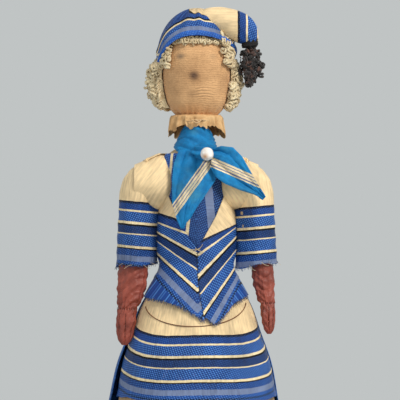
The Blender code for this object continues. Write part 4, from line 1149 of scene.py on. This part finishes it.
def chest_y(x, z, offset):
    """The y in mm just in front of the bodice and the sleeve heads."""
    size = torso(np.asarray(z, float))
    wide = size[..., 0] + bodice_offset(z, np.full_like(np.asarray(z, float), 0.3))
    reach = np.clip(np.abs(x) / (wide + 0.4), 0, 0.985)
    chest = -(size[..., 1] + 2.4) * np.sqrt(1 - reach**2)
    above = np.maximum(z - SHOULDER_UP, 0)
    arm = np.clip(11.6**2 - (np.abs(x) - SHOULDER_OUT) ** 2 - 2 * above**2, 0, None)
    return np.minimum(chest, -np.sqrt(arm)) - offset


def tail(side, left_edge, right_edge, front_of, stripe, seed):
    """A flat end of the scarf between two edges of (x, z) mm points. stripe is the line its pale lines follow."""

    def along(edge):
        pts = np.array(edge, float)
        d = np.concatenate(([0], np.cumsum(np.linalg.norm(np.diff(pts, axis=0), axis=1))))
        s = np.linspace(0, d[-1], 60)
        return np.stack((np.interp(s, d, pts[:, 0]), np.interp(s, d, pts[:, 1])), -1)

    a, b = along(left_edge), along(right_edge)
    t = np.linspace(0, 1, 44)[None, :, None]
    flat = a[:, None] * (1 - t) + b[:, None] * t
    x, z = flat[..., 0], flat[..., 1]
    share = np.linspace(0, 1, 60)[:, None]
    tilt = t[..., 0] * 8 + seed + 1.2 * np.sin(share * 3)
    fold = (np.abs(np.sin(tilt)) ** 0.7) * (1.6 * (1 - share) ** 1.2 + 0.45)
    fold = fold + 0.5 * np.abs(ruffle(t[..., 0] * 2 + seed, z * 3, seed))
    grid = np.stack((x, front_of(x, z) - fold, z), -1)
    start, end = np.array(stripe[0], float), np.array(stripe[1], float)
    way = (end - start) / np.linalg.norm(end - start)
    dx, dz = x - start[0], z - start[1]
    marks = ribbon_map(dx * way[0] + dz * way[1], dx * way[1] - dz * way[0])
    piece = cloth(f"scarf_end_silk_{side}", grid, 0.4, marks, scarf_finish, core=(0, 300, 265))
    settle(piece, "torso", "scarf_silk", f"scarf_end_{side}")
    cut_cloth(piece, grid, "hung", "scarf_knot")
    return piece


tail(
    "right",
    ((-8.6, 283), (-11.2, 276), (-12.0, 268), (-12.0, 256), (-9.6, 248), (-7.6, 243.6)),
    ((4.6, 281.5), (8.4, 275), (9.6, 268), (3.8, 259.6), (-2.0, 251), (-6.6, 244.2)),
    lambda x, z: chest_y(x, z, 0.9),
    ((5.4, 275.5), (-9.8, 254.4)),
    1.0,
)
piece = tail(
    "left",
    ((7.0, 275.0), (9.6, 269.2), (14, 266), (21.6, 262.8), (28.5, 260.6), (33.0, 258.2)),
    ((8.4, 283.2), (12.4, 284.6), (18.0, 284.0), (22.6, 279.4), (28.5, 269), (34.0, 259.4)),
    lambda x, z: -18.2 + (x - 8) * 0.18,
    ((9.0, 276.2), (29.25, 267.4)),
    2.6,
)
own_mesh(piece)


def lump(name, centre, radii, finish, bumps, seed, rows=26, cols=36, flow=None):
    """A closed lump with a folded surface. flow(latitude, longitude) adds mm to its radius."""
    points, faces, maps = [], [], []
    for i in range(rows + 1):
        lat = math.pi * i / rows
        for j in range(cols):
            lon = math.tau * j / cols
            d = np.array([math.sin(lat) * math.cos(lon), math.sin(lat) * math.sin(lon), math.cos(lat)])
            extra = bumps * noise.noise(Vector((d * 1.7 + seed).tolist())) + (flow(lat, lon) if flow else 0)
            points.append(np.array(centre) + d * (np.array(radii) + extra))
    top, bottom = len(points), len(points) + 1
    points.append(np.mean(points[:cols], axis=0))
    points.append(np.mean(points[rows * cols:top], axis=0))
    for i in range(1, rows - 1):
        for j in range(cols):
            k = (j + 1) % cols
            faces.append([i * cols + j, (i + 1) * cols + j, (i + 1) * cols + k, i * cols + k])
            near, far = i * 0.6, i * 0.6 + 0.6
            maps.append([(j, near), (j, far), (j + 1, far), (j + 1, near)])
    for j in range(cols):
        k = (j + 1) % cols
        faces.append([top, cols + j, cols + k])
        faces.append([bottom, (rows - 1) * cols + k, (rows - 1) * cols + j])
        maps += [[(j, 0)] * 3, [(j, 16)] * 3]
    piece = mesh_of(name, points, faces, maps, finish)
    shape = bmesh.new()
    shape.from_mesh(piece.data)
    bmesh.ops.delete(shape, geom=[v for v in shape.verts if not v.link_faces], context="VERTS")
    shape.to_mesh(piece.data)
    shape.free()
    return piece


knot_low, knot_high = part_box("scarf_knot")
centre = [(a + b) / 2 / MM for a, b in zip(knot_low, knot_high)]
centre = (centre[0] - 1.0, centre[1] + 0.4, centre[2] + 1.2)
piece = lump(
    "scarf_knot_silk", centre, (6.2, 2.9, 4.4), plain_scarf, 1.1, 3.0,
    flow=lambda lat, lon: 0.45 * math.sin(lat * 9 + 2 * math.sin(lon)),
)
settle(piece, "torso", "scarf_silk", "scarf_knot")

# The bead: a glass pearl with a worn patch at (dx, dz) from the axis, on a short steel pin.
made = Finish("pearl", Coat_Weight=0.6, Coat_Roughness=0.12, IOR=1.5)
place = made.place()
sheen = made.speckle(place, 0.0025, 3.0)
x, y, z = made.axes(place)
dx, dz = x - 0.0042, z - 0.2793
worn = made.positive(1.0 - made.reckon("POWER", dx * dx + dz * dz, 0.5) * 480)
colour = made.grade(sheen, dye(222, 212, 204), dye(255, 252, 248))
colour = made.blend(worn * (sheen + 0.45), colour, dye(196, 140, 88))
pearl = made.done(colour, sheen * 0.15 + 0.16, sheen, 0.00008)
piece = lump("pearl_bead_glass", (5.2, -23.7, 280.6), (3.2, 3.1, 3.2), pearl, 0.15, 9.0, 32, 44)
settle(piece, "torso", "pearl", "pearl_bead")
made = Finish("pin_steel", Metallic=1.0)
place = made.place()
drawn = made.speckle(place, 0.0006, 2.0)
colour = made.grade(drawn, dye(150, 150, 154), dye(190, 190, 194))
dress(made.done(colour, drawn * 0.2 + 0.25, drawn, 0.00003), "bead_pin")

# ---------------------------------------------------------------- head
# A firm egg of wool waste in fine knitted cloth, with no features left but faint rubbed marks where the eyes
# were and one worn brown spot. The cloth's courses run straight across.
CHIN, HEAD_HEIGHT, HEAD_WIDE, HEAD_DEEP = 300.5, 45, 17.0, 16.5
# Shares of the head's height, half width, front and back.
HEAD_SHARES = (
    (-0.03, 0.50, 0.50, 0.50), (0.01, 0.62, 0.60, 0.60), (0.05, 0.73, 0.69, 0.69), (0.11, 0.84, 0.78, 0.78),
    (0.23, 0.94, 0.88, 0.92), (0.38, 1.00, 0.95, 1.02), (0.54, 1.00, 0.98, 1.06), (0.70, 0.92, 0.94, 1.02),
    (0.83, 0.76, 0.80, 0.88), (0.93, 0.52, 0.55, 0.62), (0.99, 0.22, 0.24, 0.26),
)
HEAD_ROWS = [(CHIN + HEAD_HEIGHT * s, HEAD_WIDE * w, HEAD_DEEP * f, HEAD_DEEP * b) for s, w, f, b in HEAD_SHARES]
head = smooth_rows(HEAD_ROWS)
made = Finish("head_cloth", Sheen_Weight=0.15)
place = made.place()
x, y, z = made.axes(place)
warp = (made.speckle(place, 0.006, 2.0) - 0.5) * 0.0020
courses = made.sine(z + warp, 0.0011) * 0.6 + made.sine(z + warp * 2.0, 0.00052) * 0.5
fine = made.speckle(place, 0.0012, 4.0, 0.6)
blotch = made.speckle(place, 0.009, 3.0)
colour = made.grade(blotch * 0.7 + fine * 0.3, dye(168, 124, 80), dye(232, 182, 128))
colour = made.blend(made.positive(courses * (fine + blotch * 0.8 - 0.35)) * 0.35, colour, dye(160, 112, 70))


def mark(across, up, wide, tall, colour, depth, shade):
    """A soft round mark on the front of the head, centred at (across, up) in metres."""
    dx, dz = (x - across) / wide, (z - up) / tall
    near = made.positive(1.0 - (dx * dx + dz * dz))
    return made.blend(near * near * depth * (y < 0.0) * (fine * 0.6 + 0.7), colour, shade)


MARKS = (
    (-0.0012, 0.3194, 0.0090, 0.0080, 0.50, dye(150, 106, 66)),
    (-0.0012, 0.3194, 0.0036, 0.0034, 1.1, dye(96, 66, 42)),
    (-0.0078, 0.3290, 0.0030, 0.0022, 0.75, dye(120, 98, 76)),
    (0.0082, 0.3290, 0.0030, 0.0022, 0.35, dye(134, 108, 80)),
    (-0.0018, 0.3105, 0.0042, 0.0026, 0.38, dye(140, 104, 70)),
    (-0.0030, 0.3030, 0.0150, 0.0040, 0.45, dye(206, 144, 88)),
)
for across, up, wide, tall, depth, shade in MARKS:
    colour = mark(across, up, wide, tall, colour, depth, shade)
dx, dz = x - 0.004, z - 0.311
arcs = made.sine(z + dx * dx * 28.0, 0.0014)
near = made.positive(1.0 - (dx / 0.006) * (dx / 0.006) - (dz / 0.004) * (dz / 0.004))
head_cloth = made.done(colour, fine * 0.15 + 0.66, courses * 0.22 + fine * 0.9 + arcs * near * 0.5 + blotch, 0.00030)
turns = all_round(96)[None, :]
low, top = HEAD_ROWS[0][0], HEAD_ROWS[-1][0]
heights = low + (top - low) * np.linspace(0, 1, 90)[:, None]
HEAD_MIDDLE = (0, 0, 322)
grid = on_figure(head, turns, heights, 0.0)
n = outwards(grid, HEAD_MIDDLE)
gather = 0.35 * np.sin(turns * 21 + 2 * np.sin(turns * 3)) * np.clip((306 - heights) / 5, 0, 1)
grid += n * (0.18 * ruffle(turns, heights, 17.0, 7.0) + gather)[..., None]
piece = cloth("head_cover_cloth", grid, 0.45, None, head_cloth, closed=True, pole=True, core=HEAD_MIDDLE)
settle(piece, "head", "head_cloth", "head_cover")

# ---------------------------------------------------------------- hair
# Locks of pale lamb's wool, sewn round the face and the nape under the cap's edge. Each lock is a loose coil
# on a felted pad.
made = Finish("lambswool", Sheen_Weight=0.4)
place = made.place()
fibre = made.speckle(place, 0.0009, 4.0, 0.7)
clump = made.speckle(place, 0.005, 3.0)
# The colour follows the fibre and clump noise that also gives the relief: brown in the hollows as painted shade
# between the clumps, pale cream on the tops as painted highlight, beside the wool's own uneven tone.
colour = made.grade(fibre * 0.45 + clump * 0.55, dye(176, 142, 92), dye(255, 240, 200))
wool = made.done(colour, 0.85, fibre + clump, 0.0006)


def wool_pad(name, turns, heights, bulge, seed):
    """A lumpy pad on the head. Gives its piece, outer points and outward normals."""
    t = np.radians(turns)[None, :]
    z = np.asarray(heights, float)[:, None]
    inside = on_figure(head, t, z, 0.75)
    rows, cols = inside.shape[:2]
    along, across = (np.sin(np.pi * np.linspace(0.02, 0.98, count)) for count in (rows, cols))
    rim = np.minimum(along[:, None], across[None, :]) ** 0.5
    lumps = 1 + 0.35 * ruffle(t * 4 + seed, z * 4, seed, 12.0)
    reach = 0.9 + (bulge(t, z) - 0.9) * rim * lumps
    outside = on_figure(head, t, z, reach)
    piece = cloth(name, outside, 0.3, None, wool, inner=inside)
    n = across_of(outside, False)
    if (n * outside * np.array([1, 1, 0])).sum() < 0:
        n = -n
    return piece, outside, n


def side_bulge(full):
    """How far the wool stands out below the cap: most at the cheek, and more where the jaw draws in."""

    def bulge(t, z):
        jaw = HEAD_WIDE - head(z)[..., 0]
        shape = full * (0.55 + 0.45 * np.sin(np.pi * np.clip((z - 303) / (330 - 303), 0, 1)))
        under = np.clip((z - 324) / 4, 0, 1)
        return (shape + jaw) * (1 - under) + 2.2 * under

    return bulge


def curls_on(name, outside, n, count, seed, coil, length, thick, lift):
    """Coils of wool scattered over a pad, lying mostly along it, on the head."""
    random.seed(seed)
    rows, cols = outside.shape[:2]
    spots = []
    while len(spots) < count:
        i, j = random.randrange(1, rows - 1), random.randrange(0, cols)
        p, d = outside[i, j], n[i, j]
        way = Vector([random.gauss(0, 1) for _ in range(3)])
        way = way - Vector(d) * way.dot(Vector(d)) * 0.7
        spots.append((p + d * lift - np.array(way.normalized()) * length * 0.4 / MM, tuple(way.normalized())))
    piece = lay_threads(name, spots, wool, thick, length, coil, turns=1.6, scatter=0.45, seed=seed, sides=5)
    settle(piece, "head", "lambswool")


LOCK = (0.0017, 0.0040, 0.00078, 0.3)
PAD_HEIGHTS = np.linspace(304, 327.2, 40)
for side, sign in SIDES:
    bulge = side_bulge(6.0 if sign < 0 else 3.6)
    pad, outside, n = wool_pad(f"hair_wool_{side}", sign * np.linspace(74, 111, 30), PAD_HEIGHTS, bulge, 41.0 + sign)
    settle(pad, "head", "lambswool", f"hair_{side}")
    curls_on(f"hair_curls_{side}", outside, n, 105, 51 + sign, *LOCK)
    curls_on(f"hair_wisps_{side}", outside, n, 110, 57 + sign, 0.0010, 0.0024, 0.00034, 0.8)
pad, outside, n = wool_pad("hair_wool_back", np.linspace(113, 247, 60), PAD_HEIGHTS, side_bulge(4.4), 61.0)
settle(pad, "head", "lambswool", "hair_back")
curls_on("hair_curls_back", outside, n, 230, 63, *LOCK)
fringe_turns, fringe_heights = np.linspace(-54, 54, 50), np.linspace(335.4, 338.6, 10)
pad, outside, n = wool_pad("hair_wool_fringe", fringe_turns, fringe_heights, lambda t, z: 1.5 + 0 * t * z, 71.0)
settle(pad, "head", "lambswool", "hair_fringe")
curls_on("hair_curls_fringe", outside, n, 46, 73, 0.0010, 0.0024, 0.00042, 0.1)
# Locks that climb from the temples to the cap's edge, and over it on the doll's left.
TEMPLES = (("left", 1, (48, 76), (324, 341), 46), ("right", -1, (50, 78), (323, 334), 34))
for side, sign, spread, level, count in TEMPLES:
    t = np.radians(np.linspace(sign * spread[0], sign * spread[1], 10))[None, :]
    z = np.linspace(*level, 14)[:, None]
    lift = 1.2 + 2.6 * np.clip((z - 330) / 8, 0, 1) * (sign > 0)
    grid = on_figure(head, t, z, lift)
    flat = grid * np.array([1, 1, 0])
    n = flat / np.linalg.norm(flat, axis=2, keepdims=True)
    curls_on(f"hair_temple_{side}", grid, n, count, 80 + sign, 0.0014, 0.0034, 0.00064, 0.6)

# ---------------------------------------------------------------- cap
# A soft cap of the striped ribbon: a band turned up round the brow, a full bag above it, and a loose end that
# falls to the doll's left, where black thread gathers it.
CAP_STRIPES = (
    (-40, dye(40, 96, 190)), (2.4, LILAC), (4.8, FIGURED), (8.3, LINE), (9.3, BLACK), (10.3, BLUE), (13.0, BLACK),
    (14.0, CREAM),
)
cap_silk = ribbon_silk(
    "cap_silk", CAP_STRIPES, ((-40, 0.5), (2.4, 0.0), (4.8, 0.8), (8.3, 0.0), (10.1, 0.35), (13.0, 0.0)), wear=0.25
)
fall_silk = ribbon_silk("cap_fall_silk", wear=0.2)
cols, rows = 160, 110
around = np.linspace(0, math.tau, cols + 1)
half = np.cos(around) * 0.5 + 0.5
edge = 324.8 + 14.4 * half**1.2 - 10.0 * np.clip(-np.sin(around), 0, 1) ** 4
CROWN, CAP_FOOT, CAP_WIDE = 353.8, 322, 19.6
deep = np.where(np.cos(around) > 0, 17.6, 20.2)
grid = np.empty((rows, cols + 1, 3))
for i, s in enumerate(np.linspace(0, 1, rows)):
    z = edge + (CROWN - edge) * math.sin(s * math.pi / 2)
    level = np.clip((z - CAP_FOOT) / (CROWN - CAP_FOOT), 0, 1)
    shrink = np.sqrt(np.clip(1 - np.clip((level - 0.10) / 0.90, 0, 1) ** 2.5, 0, 1)) + 0.004
    grid[i, :, 0] = CAP_WIDE * shrink * np.sin(around)
    grid[i, :, 1] = -deep * shrink * np.cos(around)
    grid[i, :, 2] = z
steps = np.linalg.norm(np.diff(grid, axis=0), axis=2)
length = np.concatenate((np.zeros((1, cols + 1)), np.cumsum(steps, axis=0)))
pleats = 0.40 * np.sin(around * 11 + 1.5 * np.sin(around * 3))[None, :]
pleats = pleats * np.clip(length / 9, 0, 1) * np.clip((24 - length) / 10, 0, 1)
# Three soft rolls round the band: how high each stands, where it lies and how wide it is.
ROLLS = ((1.0, 1.6, 1.5), (0.7, 6.6, 1.8), (0.6, 11.4, 2.0))
roll = sum(high * np.exp(-(((length - at) / wide) ** 2)) for high, at, wide in ROLLS)
n = across_of(grid, False)
n[:, 0] = n[:, -1] = (n[:, 0] + n[:, -1]) / 2
CAP_MIDDLE = (0, 0, 330)
if (n * (grid - CAP_MIDDLE)).sum() < 0:
    n = -n
grid += n * (pleats + roll + 0.12 * ruffle(around[None, :], grid[..., 2] * 2, 88.0, 14.0))[..., None]
over_right = np.clip((grid[..., 0] + 4.0) / 3.0, 0, 1)
slant = 1 + 0.10 * np.sin(around)[None, :]
held = np.minimum(length * slant, 12.9)
across = held + over_right * (np.minimum(length * slant, 20.0) - held)
marks = ribbon_map(around * 17, across)
split = int(rows * 0.40)
band, bag = grid[: split + 1], grid[split:]
piece = cloth("cap_band_silk", band[:, :cols], 0.5, marks[: split + 1], cap_silk, closed=True, core=CAP_MIDDLE)
settle(piece, "head", "striped_silk", "cap_band")
cut_cloth(piece, band, "stretched", "head_cover_cloth")
piece = cloth("cap_bag_silk", bag[:, :cols], 0.5, marks[split:], cap_silk, closed=True, pole=True, core=CAP_MIDDLE)
settle(piece, "head", "striped_silk", "cap_bag")
cut_cloth(piece, bag, "gathered", "cap_band_silk")

# The loose end, a flattened tube that falls from the crown to the knot: its middle, half width and half depth.
FALL = (
    (0.0, -1.0, 347.0, 4.0, 6.0),
    (5.5, -2.5, 347.8, 6.2, 8.4),
    (11.5, -4.0, 347.2, 7.2, 9.6),
    (17.0, -4.6, 345.6, 7.6, 9.4),
    (21.8, -4.6, 344.0, 7.4, 8.2),
    (25.0, -4.6, 340.4, 6.4, 6.8),
    (26.8, -4.3, 337.6, 4.2, 4.4),
    (27.2, -4.0, 335.4, 2.6, 2.6),
)
fall = np.array(FALL)
count, cols = 60, 60
s = np.linspace(0, 1, count)
known = np.linspace(0, 1, len(FALL))
values = [eased(np.interp(s, known, fall[:, i]), 8) for i in range(5)]
path = np.stack(values[:3], -1)
ahead = np.gradient(path, axis=0)
ahead /= np.linalg.norm(ahead, axis=1, keepdims=True)
flat_way = np.cross(ahead, np.array([0, 1.0, 0]))
flat_way /= np.linalg.norm(flat_way, axis=1, keepdims=True)
around = all_round(cols)
forward = np.array([0, -1.0, 0])
grid = np.empty((count, cols, 3))
for i in range(count):
    gathers = 1 + 0.10 * np.clip((s[i] - 0.55) / 0.4, 0, 1) * np.sin(around * 9)
    wide = values[3][i] * np.cos(around)[:, None] * flat_way[i]
    grid[i] = path[i] + gathers[:, None] * (wide + values[4][i] * np.sin(around)[:, None] * forward)
over = join_round(grid)
marks = ribbon_map(over[..., 2], (over[..., 0] - 20.4) * 1.05)
piece = cloth("cap_fall_silk", grid, 0.4, marks, fall_silk, closed=True, pole=True, core=(14, -3, 342))
settle(piece, "head", "striped_silk")
cut_cloth(piece, grid, "gathered", "cap_bag_silk")

# Black thread wound round the gathered end.
black_thread = plain_weave("black_thread", dye(34, 30, 32), dye(8, 7, 9), 0.0003)
path = wound((26.6, -4.2, 336.0), (3.7, 3.5), 2.6, 7, wobble=0.7)
piece = thread_line("cap_knot_winding", path, 0.45, black_thread)
settle(piece, "head", "black_wool", "cap_knot")
piece = lump("cap_knot_core", (27.0, -4.0, 335.4), (3.3, 3.1, 2.0), black_thread, 0.4, 4.0)
settle(piece, "head", "black_wool")

# ---------------------------------------------------------------- tassel
# Curled bobbles of black and brown wool that hang from the knot on a thread.
made = Finish("black_wool", Sheen_Weight=0.2)
place = made.place()
fibre = made.speckle(place, 0.0008, 4.0, 0.7)
clump = made.speckle(place, 0.0035, 2.0)
rust = made.positive(clump - 0.52) * 4.0
colour = made.blend(rust, made.grade(fibre, dye(8, 6, 6), dye(40, 32, 30)), dye(118, 74, 56))
black_wool = made.done(colour, 0.8, fibre + clump, 0.0005)
# Share of the way down, and half width.
TASSEL = ((0, 2.6), (0.15, 5.4), (0.4, 6.4), (0.7, 4.6), (0.85, 2.6), (1, 1.2))
spots, small = [], []
random.seed(90)
for i in range(74):
    level = random.random() ** 1.15
    r = np.interp(level, *zip(*TASSEL)) * random.uniform(0.15, 1) ** 0.6
    angle = random.uniform(0, math.tau)
    way = Vector([random.gauss(0, 1) for _ in range(3)]).normalized()
    place = (26.0 + 1.4 * level + r * math.cos(angle), -4.0 + 0.8 * r * math.sin(angle), 332.2 - 17.4 * level)
    (spots if i % 3 else small).append((place, tuple(way)))
piece = lay_threads("tassel_curls", spots, black_wool, 0.00078, 0.0030, 0.0014, turns=1.7, seed=91, sides=6)
settle(piece, "tassel_hang", "black_wool", "tassel")
wisp = (0.00030, 0.0040, 0.0016)
piece = lay_threads("tassel_wisps", small, black_wool, *wisp, turns=1.2, scatter=0.5, seed=93, sides=5)
settle(piece, "tassel_hang", "black_wool")
piece = lump("tassel_heart", (26.4, -4.0, 325.2), (3.0, 2.8, 7.0), black_wool, 1.0, 6.0, 20, 24)
settle(piece, "tassel_hang", "black_wool")

# ---------------------------------------------------------------- table, light and camera
# A pale matt floor, a large soft lamp high on the right, a weaker one on the left and an even grey room.
made = Finish("floor_paint")
place = made.place()
mottle = made.speckle(place, 0.05)
colour = made.grade(mottle, dye(196, 199, 199), dye(204, 206, 206))
floor_paint = made.done(colour, mottle * 0.1 + 0.8, mottle, 0.0002)
shape = bmesh.new()
bmesh.ops.create_circle(shape, cap_ends=True, segments=96, radius=1.5)
data = bpy.data.meshes.new("floor")
shape.to_mesh(data)
shape.free()
data.materials.append(floor_paint)
floor = bpy.data.objects.new("floor", data)
bpy.context.scene.collection.objects.link(floor)

world = bpy.data.worlds.new("room")
bpy.context.scene.world = world
world.use_nodes = True
world.node_tree.nodes["Background"].inputs[0].default_value = dye(192, 196, 196)
world.node_tree.nodes["Background"].inputs[1].default_value = 1.0


def lamp(name, place, aim, size, power, colour):
    data = bpy.data.lights.new(name, "AREA")
    data.shape, data.size, data.energy, data.color = "DISK", size, power, colour
    made = bpy.data.objects.new(name, data)
    made.location = place
    made.rotation_euler = (Vector(aim) - Vector(place)).to_track_quat("-Z", "Y").to_euler()
    bpy.context.scene.collection.objects.link(made)


lamp("key_lamp", (0.75, -0.85, 1.15), (0, 0, 0.26), 0.4, 17.0, (1.0, 0.97, 0.92))
lamp("fill_lamp", (-0.9, -0.7, 0.6), (0, 0, 0.25), 0.7, 2.0, (0.93, 0.96, 1.0))

view = bpy.data.cameras.new("camera")
view.lens, view.sensor_width = 216, 36
view.clip_start, view.clip_end = 0.05, 20
camera = bpy.data.objects.new("camera", view)
camera.location = (0.00175, -1.2, 0.258)
camera.rotation_euler = (math.radians(90), 0, 0)
bpy.context.scene.collection.objects.link(camera)
bpy.context.scene.camera = camera
bpy.context.scene.view_settings.view_transform = "Standard"
